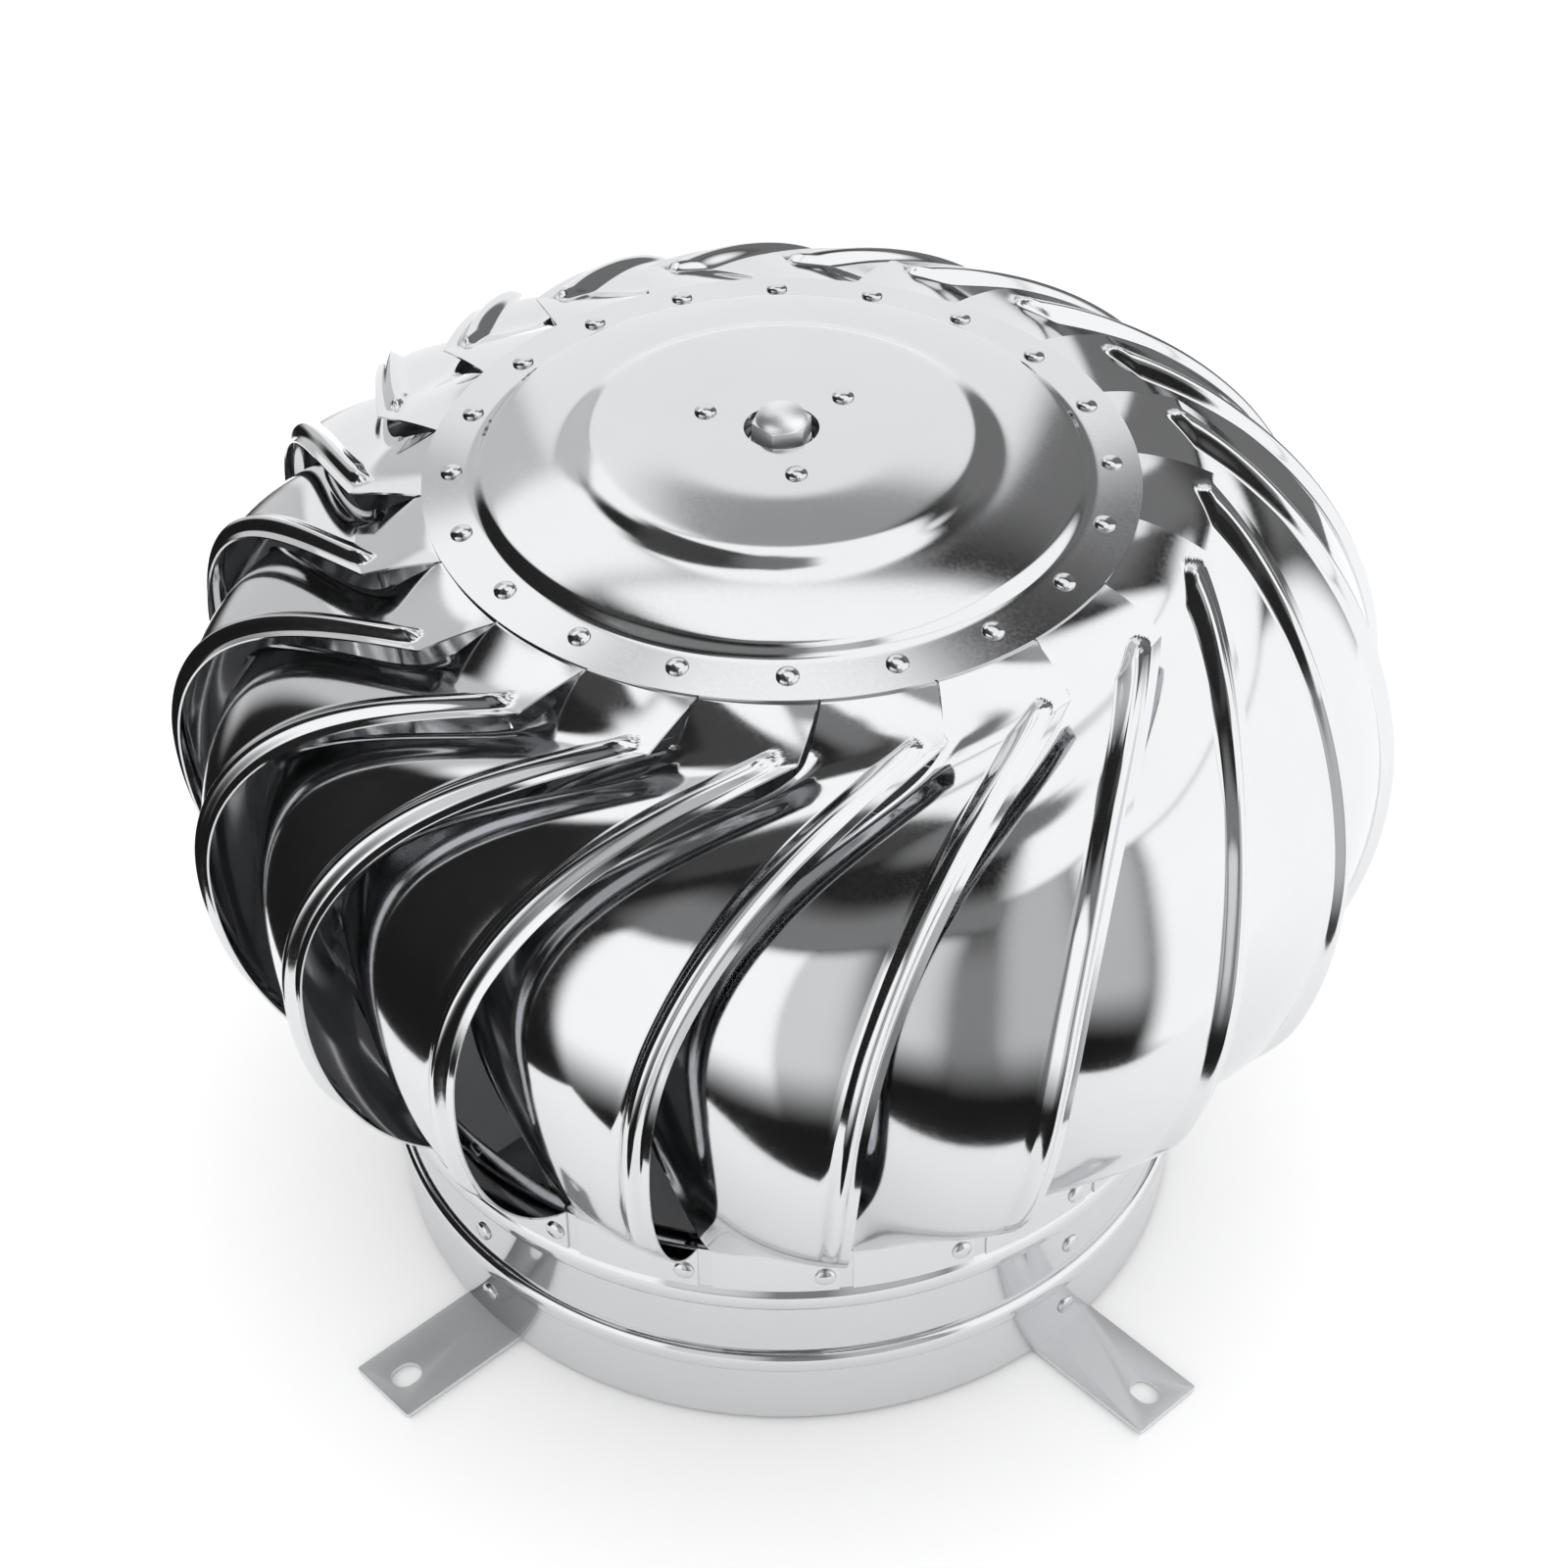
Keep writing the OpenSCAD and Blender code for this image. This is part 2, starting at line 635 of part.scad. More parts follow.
module housing_circlip() {
    out = bearing_r + bearing_fit + circlip_grip - 2 * fit;
    color("dimgray") translate([0, 0, lower_bearing_z - fit - circlip_t]) difference() {
        tube(out, bearing_r - circlip_in, circlip_t);
        translate([0, -2, -1]) cube([bearing_r + bearing_w, 4, circlip_t + 2]);
    }
}

module at_hub_rivets(z) {
    around(hub_rivet_count, hub_rivet_turn) translate([hub_rivet_r, 0, z]) children();
}

module hub_rivets() {
    color("whitesmoke") at_hub_rivets(hub_z) rivet(plate_sheet + fit + housing_flange_t);
}

module at_vane_rivets() {
    around(vane_count, shoulder_a - rivet_lag) translate([vane_rivet_r, 0, vane_rivet_top])
        rotate([0, flange_slope, 0]) children();
}

module top_plate() {
    color("gainsboro") difference() {
        rotate_extrude() polygon(sheet(plate_line(), plate_sheet));
        at_hub_rivets(hub_z) rivet_hole(plate_sheet + 1);
        at_vane_rivets() rivet_hole(plate_sheet + 1);
    }
}

module vane_rivets() {
    color("whitesmoke") at_vane_rivets() rivet(plate_sheet + fit + vane_sheet);
}

module at_tab_rivets() {
    around(vane_count, shoulder_a + tab_turn - tab_rivet_a) radial(tab_r, tab_rivet_height) children();
}

module bottom_ring() {
    color("silver") difference() {
        translate([0, 0, ring_bottom]) tube(ring_out, ring_r, tab_h);
        at_tab_rivets() rivet_hole(hole_reach);
    }
}

module tab_rivets() {
    color("whitesmoke") at_tab_rivets() rivet(vane_sheet + fit + ring_sheet, tab_rivet_tail_h);
}

module vane(i) {
    grid = vane_rows_all();
    color("gainsboro") rotate([0, 0, i * vane_pitch]) difference() {
        rotate([0, 0, shoulder_a]) polyhedron(
            flat(concat(grid, grid_back(grid, vane_sheet))),
            grid_faces(len(grid), len(grid[0])));
        rotate([0, 0, shoulder_a - rivet_lag]) translate([vane_rivet_r, 0, vane_rivet_top])
            rotate([0, flange_slope, 0]) rivet_hole(hole_reach);
        rotate([0, 0, shoulder_a + tab_turn - tab_rivet_a]) radial(tab_r, tab_rivet_height)
            rivet_hole(hole_reach);
    }
}

base_collar();
strap(270);  // strap_front
strap(0);  // strap_right
strap(90);  // strap_back
strap(180);  // strap_left
strap_rivets();
cross_bar(0, 0);  // cross_bar_lower
cross_bar(90, 1);  // cross_bar_upper
clamp_plate(clamp_bottom);  // clamp_plate_lower
clamp_plate(bar_top);  // clamp_plate_upper
clamp_bolts();
clamp_nuts();
spindle();
spindle_washer();
spindle_nut();
bearing_inner_rings();
inner_spacer();
cap_washer();
spindle_cap();
bearing_balls();
bearing_cages();
bearing_outer_rings();
bearing_shields();
outer_spacer();
bearing_housing();
housing_circlip();
hub_rivets();
top_plate();
vane_rivets();
bottom_ring();
tab_rivets();
for (i = [1:vane_count])
    vane(i - 1);
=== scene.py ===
import math

import bmesh
import bpy
import numpy as np
from mathutils import Matrix, Vector


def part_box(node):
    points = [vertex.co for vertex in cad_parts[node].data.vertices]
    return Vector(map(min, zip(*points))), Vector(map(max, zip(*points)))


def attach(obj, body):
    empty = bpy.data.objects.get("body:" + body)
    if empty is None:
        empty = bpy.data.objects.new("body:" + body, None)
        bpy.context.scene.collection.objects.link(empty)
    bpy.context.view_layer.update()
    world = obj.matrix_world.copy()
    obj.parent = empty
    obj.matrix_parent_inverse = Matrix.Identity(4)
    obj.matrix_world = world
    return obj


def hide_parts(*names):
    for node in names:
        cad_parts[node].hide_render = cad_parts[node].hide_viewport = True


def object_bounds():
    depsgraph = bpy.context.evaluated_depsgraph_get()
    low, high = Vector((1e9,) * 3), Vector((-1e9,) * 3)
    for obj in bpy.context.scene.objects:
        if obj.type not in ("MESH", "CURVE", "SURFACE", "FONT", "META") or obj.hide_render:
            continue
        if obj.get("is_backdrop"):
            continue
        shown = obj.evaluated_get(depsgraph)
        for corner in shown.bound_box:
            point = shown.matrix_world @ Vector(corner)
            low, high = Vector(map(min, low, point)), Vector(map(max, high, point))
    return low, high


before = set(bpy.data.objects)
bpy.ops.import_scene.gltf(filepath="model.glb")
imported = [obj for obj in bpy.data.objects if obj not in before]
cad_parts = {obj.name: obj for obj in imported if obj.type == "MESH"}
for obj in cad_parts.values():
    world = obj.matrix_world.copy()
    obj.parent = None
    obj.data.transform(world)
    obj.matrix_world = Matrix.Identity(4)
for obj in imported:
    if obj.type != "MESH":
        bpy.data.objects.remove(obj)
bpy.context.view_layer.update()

# Camera: it stands over the cowl, between two of the mounting straps, and looks down on the top plate.
# Its distances are real ones, worked out from how strongly the vanes and straps converge in the photograph.
MM = 0.001
CAMERA_AZIMUTH = math.radians(-42.9)
CAMERA_OUT = 730 * MM
CAMERA_UP = 783 * MM
CAMERA_DOWN = math.radians(41.1)
CAMERA_ROLL = math.radians(0.4)
CAMERA_LENS = 73.4

camera_data = bpy.data.cameras.new("camera")
camera_data.lens = CAMERA_LENS
camera = bpy.data.objects.new("camera", camera_data)
bpy.context.scene.collection.objects.link(camera)
camera.location = (CAMERA_OUT * math.cos(CAMERA_AZIMUTH), CAMERA_OUT * math.sin(CAMERA_AZIMUTH), CAMERA_UP)
camera.rotation_euler = (Matrix.Rotation(CAMERA_AZIMUTH + math.pi / 2, 3, "Z")
                         @ Matrix.Rotation(math.pi / 2 - CAMERA_DOWN, 3, "X")
                         @ Matrix.Rotation(-CAMERA_ROLL, 3, "Z")).to_euler()
bpy.context.scene.camera = camera
bpy.context.scene.view_settings.view_transform = "Standard"


# Table and floor: matt white board. The eye sees the wide floor, which takes the cowl's soft shadow. The
# metal mirrors only the smaller table, whose front edge ends the bright patch low on every vane.
FLOOR_DROP = 0.3 * MM
TABLE_FRONT = 262 * MM
TABLE_LEFT = 290 * MM
TABLE_RIGHT = 1600 * MM
TABLE_BACK = 1500 * MM
FLOOR_REACH = 6.0
TOOTH_SIZE = 2 * MM
TOOTH_LOW, TOOTH_HIGH = 0.85, 1.0


def add(tree, kind, links=None, **settings):
    """Adds a node. Settings are its properties or inputs; links are sockets or values for its inputs."""
    node = tree.nodes.new(kind)
    for name, value in settings.items():
        if hasattr(node, name):
            setattr(node, name, value)
        else:
            node.inputs[name.replace("_", " ")].default_value = value
    for name, source in (links or {}).items():
        if isinstance(source, bpy.types.NodeSocket):
            tree.links.new(source, node.inputs[name])
        else:
            node.inputs[name].default_value = source
    return node


def linear(hex_colour):
    """A colour written as sRGB, in the linear values that a shader takes."""
    parts = [int(hex_colour[i:i + 2], 16) / 255 for i in (1, 3, 5)]
    return tuple(p / 12.92 if p <= 0.04045 else ((p + 0.055) / 1.055) ** 2.4 for p in parts) + (1,)


def seen_from_camera(across, away, up):
    """A point given to the camera's right, away from it and above the floor."""
    side = Vector((-math.sin(CAMERA_AZIMUTH), math.cos(CAMERA_AZIMUTH), 0))
    ahead = Vector((-math.cos(CAMERA_AZIMUTH), -math.sin(CAMERA_AZIMUTH), 0))
    return tuple(side * across + ahead * away + Vector((0, 0, up)))


# Matt white board: coated paper that scatters light evenly, with a faint tooth.
white_board = bpy.data.materials.new("matt white board")
white_board.use_nodes = True
tree = white_board.node_tree
board_shader = tree.nodes["Principled BSDF"]
board_shader.inputs["Base Color"].default_value = linear("#fbfbfb")
board_shader.inputs["Specular IOR Level"].default_value = 0.0
tooth = add(tree, "ShaderNodeTexNoise", Scale=1 / TOOTH_SIZE, Detail=2.0)
tooth_rough = add(tree, "ShaderNodeMapRange", {"Value": tooth.outputs["Fac"]},
                  To_Min=TOOTH_LOW, To_Max=TOOTH_HIGH)
tree.links.new(tooth_rough.outputs["Result"], board_shader.inputs["Roughness"])

for name, left, front, right, back, drop in (
        ("table", -TABLE_LEFT, -TABLE_FRONT, TABLE_RIGHT, TABLE_BACK, FLOOR_DROP),
        ("floor", -FLOOR_REACH, -FLOOR_REACH, FLOOR_REACH, FLOOR_REACH, 2 * FLOOR_DROP)):
    corners = [seen_from_camera(left, front, -drop), seen_from_camera(right, front, -drop),
               seen_from_camera(right, back, -drop), seen_from_camera(left, back, -drop)]
    sheet = bpy.data.meshes.new(name)
    sheet.from_pydata(corners, [], [(0, 1, 2, 3)])
    sheet.materials.append(white_board)
    board = bpy.data.objects.new(name, sheet)
    bpy.context.scene.collection.objects.link(board)
    board.visible_glossy = name == "table"
    board.visible_camera = board.visible_diffuse = board.visible_shadow = name == "floor"
    board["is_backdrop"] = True

# Studio light: an even white room for the eye and the floor, and soft boxes that only the metal mirrors. Each
# box is a patch of sky, in degrees: its turn round the cowl from the camera, half its width, its sides'
# softness, its lower edge and that edge's softness, the same for its upper edge; and last its brightness.
SOFT_BOXES = {
    "right wall": (81, 41, 6, -48, 8, 56, 5, 1.3),
    "far right wall": (148, 20, 8, -20, 8, 46, 8, 0.2),
    "front left box": (-48, 20, 4, -28, 14, 38, 5, 1.3),
    "front wall": (-20, 12, 10, -26, 16, 38, 5, 0.85),
    "front door": (6, 12, 5, -32, 14, 40, 25, 0.28),
    "front right wall": (24, 12, 8, -28, 16, 60, 10, 0.62),
    "front upper wall": (-25, 50, 12, 38, 6, 60, 8, 0.24),
    "back wall": (180, 19, 3, -20, 6, 42, 4, 1.08),
    "head of the back wall": (183, 18, 6, 38, 6, 58, 4, 0.4),
    "back left wall": (-150, 14, 6, -20, 6, 44, 5, 0.7),
    "back left ceiling": (-152, 18, 6, 34, 4, 54, 4, 1.3),
    "left ceiling": (-128, 36, 8, 54, 4, 80, 5, 0.06),
    "back ceiling": (179, 30, 5, 54, 3, 81, 4, 1.3),
    "right ceiling": (95, 85, 12, 54, 3, 84, 4, 1.3),
    "middle of the ceiling": (0, 180, 0, 80, 5, 90, 0, 0.22),
}
DARK_ROOM = 0.014
ROOM_FOR_FLOOR = 1.35

world = bpy.data.worlds.new("studio")
bpy.context.scene.world = world
world.use_nodes = True
tree = world.node_tree
tree.nodes.clear()
direction = add(tree, "ShaderNodeTexCoord").outputs["Generated"]
level = add(tree, "ShaderNodeVectorMath", {0: direction, 1: (1, 1, 0)}, operation="MULTIPLY")
heading = add(tree, "ShaderNodeVectorMath", {0: level.outputs["Vector"]}, operation="NORMALIZE")
height = add(tree, "ShaderNodeSeparateXYZ", {"Vector": direction}).outputs["Z"]
lit = DARK_ROOM
for name, (azimuth, half, side_soft, low, low_soft, high, high_soft, power) in SOFT_BOXES.items():
    patch = power
    a = CAMERA_AZIMUTH + math.radians(azimuth)
    facing = add(tree, "ShaderNodeVectorMath",
                 {0: heading.outputs["Vector"], 1: (math.cos(a), math.sin(a), 0)},
                 operation="DOT_PRODUCT").outputs["Value"]
    side_fade = (math.cos(math.radians(half + side_soft)), math.cos(math.radians(half - side_soft)))
    low_fade = (math.sin(math.radians(low - low_soft)), math.sin(math.radians(low + low_soft)))
    high_fade = (math.sin(math.radians(high + high_soft)), math.sin(math.radians(high - high_soft)))
    for value, (dark, bright), used in ((facing, side_fade, half < 180), (height, low_fade, True),
                                        (height, high_fade, high < 90)):
        if used:
            fade = add(tree, "ShaderNodeMapRange", {"Value": value}, interpolation_type="SMOOTHSTEP",
                       From_Min=dark, From_Max=bright).outputs["Result"]
            patch = add(tree, "ShaderNodeMath", {0: patch, 1: fade}, operation="MULTIPLY").outputs["Value"]
    lit = add(tree, "ShaderNodeMath", {0: lit, 1: patch}, operation="MAXIMUM").outputs["Value"]
rays = add(tree, "ShaderNodeLightPath")
room = add(tree, "ShaderNodeMix", {0: rays.outputs["Is Glossy Ray"], 2: ROOM_FOR_FLOOR, 3: lit},
           data_type="FLOAT")
sky = add(tree, "ShaderNodeBackground", {"Color": room.outputs[0]})
add(tree, "ShaderNodeOutputWorld", {"Surface": sky.outputs["Background"]})


# Collar: a tube rolled from 0.8 mm bright stainless sheet, with two beads pressed outwards that keep it
# round. Its plain neck stands up inside the rotor's ring, so that rain can't run in.
collar_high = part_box("base_collar")[1]
COLLAR_R = 125.8
COLLAR_SHEET = 0.8
COLLAR_Z = 1.5
NECK_TOP = collar_high.z / MM
LOWER_BEAD = (28.0, 8.0, 2.4)
UPPER_BEAD = (59.0, 11.0, 4.0)
BEAD_STEEPNESS = 0.8
ROUND_STEPS = 288
SMEAR_MM = 40
SMEAR_TINT = 0.93
GLOSS_LOW, GLOSS_HIGH = 0.12, 0.42


def steel(name, hex_colour, low_rough, high_rough, wave_mm, wave_depth, grain_mm, grain=(1, 1, 1)):
    """Bright metal with a fine grain in its gloss, faint smears, and the slow waves that pressing leaves."""
    material = bpy.data.materials.new(name)
    material.use_nodes = True
    tree = material.node_tree
    shader = tree.nodes["Principled BSDF"]
    shader.inputs["Metallic"].default_value = 1.0
    place = add(tree, "ShaderNodeTexCoord").outputs["Object"]
    drawn = add(tree, "ShaderNodeMapping", {"Vector": place}, Scale=grain)
    lines = add(tree, "ShaderNodeTexNoise", {"Vector": drawn.outputs["Vector"]},
                Scale=1 / (grain_mm * MM), Detail=3.0)
    smears = add(tree, "ShaderNodeTexNoise", {"Vector": place}, Scale=1 / (SMEAR_MM * MM), Detail=3.0)
    gloss = add(tree, "ShaderNodeMath", {0: lines.outputs["Fac"], 1: smears.outputs["Fac"]},
                operation="MULTIPLY")
    rough = add(tree, "ShaderNodeMapRange", {"Value": gloss.outputs["Value"]},
                From_Min=GLOSS_LOW, From_Max=GLOSS_HIGH, To_Min=low_rough, To_Max=high_rough)
    base = linear(hex_colour)
    smeared = tuple(c * SMEAR_TINT for c in base[:3]) + (1,)
    tint = add(tree, "ShaderNodeMix", {0: smears.outputs["Fac"], 6: smeared, 7: base}, data_type="RGBA")
    waves = add(tree, "ShaderNodeTexNoise", {"Vector": place}, Scale=1 / (wave_mm * MM), Detail=1.0)
    bump = add(tree, "ShaderNodeBump", {"Height": waves.outputs["Fac"]},
               Strength=1.0, Distance=wave_depth * MM)
    tree.links.new(rough.outputs["Result"], shader.inputs["Roughness"])
    tree.links.new(tint.outputs[2], shader.inputs["Base Color"])
    tree.links.new(bump.outputs["Normal"], shader.inputs["Normal"])
    return material


def sheet_section(line, thickness):
    """A line and its copy, moved to the line's right by the sheet's thickness."""
    step = np.gradient(line, axis=0)
    step /= np.linalg.norm(step, axis=1)[:, None]
    right = np.stack([step[:, 1], -step[:, 0]], axis=1)
    return np.concatenate([line, (line + right * thickness)[::-1]])


def settled(piece, body, replaced, sharp=40):
    """Gives a finished mesh its smooth shading and outward faces, and seats it on its body."""
    shell = bmesh.new()
    shell.from_mesh(piece.data)
    bmesh.ops.recalc_face_normals(shell, faces=shell.faces)
    shell.to_mesh(piece.data)
    shell.free()
    piece.data.shade_smooth()
    piece.data.set_sharp_from_angle(angle=math.radians(sharp))
    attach(piece, body)
    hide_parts(*replaced)
    return piece


def turned(name, section, material, body, replaced, sharp=40):
    """A closed section of (radius, height) in millimetres, taken once round the axis."""
    count = len(section)
    points, faces = [], []
    for i in range(ROUND_STEPS):
        a = 2 * math.pi * i / ROUND_STEPS
        here, there = i * count, (i + 1) % ROUND_STEPS * count
        points += [(r * math.cos(a) * MM, r * math.sin(a) * MM, z * MM) for r, z in section]
        faces += [(here + k, here + (k + 1) % count, there + (k + 1) % count, there + k)
                  for k in range(count)]
    mesh = bpy.data.meshes.new(name)
    mesh.from_pydata(points, [], faces)
    mesh.materials.append(material)
    piece = bpy.data.objects.new(name, mesh)
    bpy.context.scene.collection.objects.link(piece)
    return settled(piece, body, replaced, sharp)


def bead(middle, width, height, steps=16):
    """A half-round bead with steep sides."""
    angles = [math.pi * (i / steps - 0.5) for i in range(steps + 1)]
    return [(COLLAR_R + height * math.cos(a) ** BEAD_STEEPNESS, middle + width / 2 * math.sin(a))
            for a in angles]


# Bright rolled stainless sheet: almost a mirror, with a fine grain up the tube.
collar_steel = steel("bright rolled stainless sheet", "#d9dadc", 0.045, 0.11, 55, 0.12, 1.0, (1, 1, 0.1))
collar_line = np.array([(COLLAR_R, COLLAR_Z)] + bead(*LOWER_BEAD) + bead(*UPPER_BEAD)
                       + [(COLLAR_R, NECK_TOP)])
turned("collar", sheet_section(collar_line, -COLLAR_SHEET), collar_steel,
       "mount", ["base_collar"])


# Mounting straps: four lengths of satin stainless strip, bent to an L and slotted at the outer end. Their
# upright legs are riveted inside the collar. The shears and the punch leave a small round on every edge.
STRAP_EDGE = 0.25
WELD = 0.002
FLAT_WITHIN = 0.5
ROUND_SEGMENTS = 2


def eased(name, node, edge, material, body, sharp=35):
    """A finer copy of a solid, with its flats joined up and a small round on its sharp edges."""
    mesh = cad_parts[node].data.copy()
    mesh.name = name
    shell = bmesh.new()
    shell.from_mesh(mesh)
    bmesh.ops.remove_doubles(shell, verts=shell.verts, dist=WELD * MM)
    bmesh.ops.dissolve_limit(shell, angle_limit=math.radians(FLAT_WITHIN),
                             verts=shell.verts, edges=shell.edges)
    shell.to_mesh(mesh)
    shell.free()
    mesh.materials.clear()
    mesh.materials.append(material)
    piece = bpy.data.objects.new(name, mesh)
    bpy.context.scene.collection.objects.link(piece)
    rounding = piece.modifiers.new("rounding", "BEVEL")
    rounding.width = edge * MM
    rounding.segments = ROUND_SEGMENTS
    rounding.limit_method = "ANGLE"
    rounding.angle_limit = math.radians(sharp)
    rounding.use_clamp_overlap = True
    finer = bpy.data.meshes.new_from_object(piece.evaluated_get(bpy.context.evaluated_depsgraph_get()))
    piece.modifiers.remove(rounding)
    piece.data = finer
    return settled(piece, body, [node], sharp)


# Satin stainless strip: a fine even grain, so it mirrors softly.
strap_steel = steel("satin stainless strip", "#e2e3e5", 0.52, 0.64, 25, 0.05, 0.8)
for side in ("front", "right", "back", "left"):
    eased(f"strap_{side}_strip", f"strap_{side}", STRAP_EDGE, strap_steel, "mount")

# Strap rivets: two steel rivets hold each strap's leg inside the collar. The upper one of each pair also
# holds the end of a cross bar. They have a low domed head outside and a spread tail inside.
RIVET_D = 3.2
RIVET_HEAD_D = 6.2
RIVET_HEAD_H = 1.45
RIVET_HEAD_RIM = 0.25
RIVET_HEAD_CUT = 0.1
RIVET_HEAD_STEPS = 6
RIVET_TAIL_D = 4.8
RIVET_TAIL_H = 2.0
RIVET_TAIL_CUT = 0.7
RIVET_TAIL_SHARE = 0.6
RIVET_SIDES = 32
RIVET_SHARP = 45
STRAP_RIVETS = ((12.7, 2.35), (41.3, 4.4))


def rivet_ring_tree():
    """Sets one rivet at even steps round the axis; its own axis leans out by the tilt."""
    tree = bpy.data.node_groups.new("ring of rivets", "GeometryNodeTree")
    for label, kind in (("Rivet", "Object"), ("Count", "Int"), ("Circle radius", "Float"),
                        ("Height", "Float"), ("First angle", "Float"), ("Tilt", "Float"),
                        ("Finish", "Material")):
        tree.interface.new_socket(label, in_out="INPUT", socket_type="NodeSocket" + kind)
    tree.interface.new_socket("Mesh", in_out="OUTPUT", socket_type="NodeSocketGeometry")
    sizes = add(tree, "NodeGroupInput").outputs
    circle = add(tree, "GeometryNodeMeshCircle",
                 {"Vertices": sizes["Count"], "Radius": sizes["Circle radius"]})
    lift = add(tree, "ShaderNodeCombineXYZ", {"Z": sizes["Height"]})
    start = add(tree, "ShaderNodeCombineXYZ", {"Z": sizes["First angle"]})
    seats = add(tree, "GeometryNodeTransform", {"Geometry": circle.outputs["Mesh"],
                                                "Translation": lift.outputs[0], "Rotation": start.outputs[0]})
    place = add(tree, "ShaderNodeSeparateXYZ", {"Vector": add(tree, "GeometryNodeInputPosition").outputs[0]})
    heading = add(tree, "ShaderNodeMath", {0: place.outputs["Y"], 1: place.outputs["X"]}, operation="ARCTAN2")
    lean = add(tree, "ShaderNodeCombineXYZ", {"Y": sizes["Tilt"], "Z": heading.outputs[0]})
    rivet = add(tree, "GeometryNodeObjectInfo", {"Object": sizes["Rivet"]})
    ring = add(tree, "GeometryNodeInstanceOnPoints", {"Points": seats.outputs[0],
                                                      "Instance": rivet.outputs["Geometry"],
                                                      "Rotation": lean.outputs[0]})
    solid = add(tree, "GeometryNodeRealizeInstances", {"Geometry": ring.outputs["Instances"]})
    finish = add(tree, "GeometryNodeSetMaterial",
                 {"Geometry": solid.outputs["Geometry"], "Material": sizes["Finish"]})
    add(tree, "NodeGroupOutput", {"Mesh": finish.outputs["Geometry"]})
    return tree


def grown(name, tree, sizes):
    """The plain mesh that a geometry tree gives with these sizes."""
    piece = bpy.data.objects.new(name, bpy.data.meshes.new(name))
    bpy.context.scene.collection.objects.link(piece)
    build = piece.modifiers.new("build", "NODES")
    build.node_group = tree
    for item in tree.interface.items_tree:
        if item.in_out == "INPUT":
            build[item.identifier] = sizes[item.name]
    mesh = bpy.data.meshes.new_from_object(piece.evaluated_get(bpy.context.evaluated_depsgraph_get()))
    piece.modifiers.remove(build)
    piece.data = mesh
    return piece


def rivet(grip, tail_h=RIVET_TAIL_H):
    """One set rivet: its head stands on z = 0, its tail is spread under the stack that it grips."""
    head = [(RIVET_HEAD_D / 2 * math.cos(a), RIVET_HEAD_RIM + (RIVET_HEAD_H - RIVET_HEAD_RIM) * math.sin(a))
            for a in np.linspace(0, math.pi / 2, RIVET_HEAD_STEPS + 1)[:-1]]
    tail_r = RIVET_TAIL_D / 2
    tail = [(tail_r, -grip), (tail_r, -grip - tail_h * RIVET_TAIL_SHARE),
            (tail_r - RIVET_TAIL_CUT, -grip - tail_h)]
    shank = [(RIVET_D / 2, -grip), (RIVET_D / 2, 0), (RIVET_HEAD_D / 2 - RIVET_HEAD_CUT, 0)]
    line = tail[::-1] + shank + head
    shell = bmesh.new()
    rings = [[shell.verts.new((r * math.cos(a) * MM, r * math.sin(a) * MM, z * MM))
              for a in np.linspace(0, 2 * math.pi, RIVET_SIDES, endpoint=False)] for r, z in line]
    for lower, upper in zip(rings, rings[1:]):
        for i in range(RIVET_SIDES):
            j = (i + 1) % RIVET_SIDES
            shell.faces.new((lower[i], lower[j], upper[j], upper[i]))
    crown = shell.verts.new((0, 0, RIVET_HEAD_H * MM))
    for i in range(RIVET_SIDES):
        shell.faces.new((rings[-1][i], rings[-1][(i + 1) % RIVET_SIDES], crown))
    shell.faces.new(rings[0][::-1])
    mesh = bpy.data.meshes.new("rivet")
    shell.to_mesh(mesh)
    shell.free()
    source = bpy.data.objects.new("rivet", mesh)
    bpy.context.scene.collection.objects.link(source)
    return source


def rivets(name, source, rings, material, body, node):
    """All the rivets of one solid: for each ring a source and (count, radius, height, first angle, tilt)."""
    parts = [grown(name, rivet_ring, {"Rivet": source[i], "Count": count, "Circle radius": radius * MM,
                                      "Height": height * MM, "First angle": first, "Tilt": tilt,
                                      "Finish": material})
             for i, (count, radius, height, first, tilt) in enumerate(rings)]
    whole = bmesh.new()
    for part in parts:
        whole.from_mesh(part.data)
    whole.to_mesh(parts[0].data)
    whole.free()
    for spare in parts[1:] + source:
        bpy.data.objects.remove(spare)
    return settled(parts[0], body, [node], RIVET_SHARP)


# Bright steel rivet: stamped smooth, with tool marks too fine to see.
rivet_steel = steel("bright steel rivet", "#d4d5d7", 0.08, 0.16, 3, 0.02, 0.5)
rivet_ring = rivet_ring_tree()
rivets("strap_rivet_heads", [rivet(grip) for height, grip in STRAP_RIVETS],
       [(4, COLLAR_R, height, 0.0, math.pi / 2) for height, grip in STRAP_RIVETS],
       rivet_steel, "mount", "strap_rivets")

# Cross bars and clamp: two zinc-plated strips cross the throat and hold the spindle. Two square plates clamp
# the crossing with four hexagon bolts and nuts. The plating is greyer and softer in gloss than stainless.
frame_steel = steel("zinc plated steel strip", "#a4a6a9", 0.26, 0.42, 15, 0.05, 0.8)
for node, edge in (("cross_bar_lower", 0.3), ("cross_bar_upper", 0.3), ("clamp_plate_lower", 0.3),
                   ("clamp_plate_upper", 0.3), ("clamp_bolts", 0.35), ("clamp_nuts", 0.35)):
    eased(node + "_edged", node, edge, frame_steel, "mount")

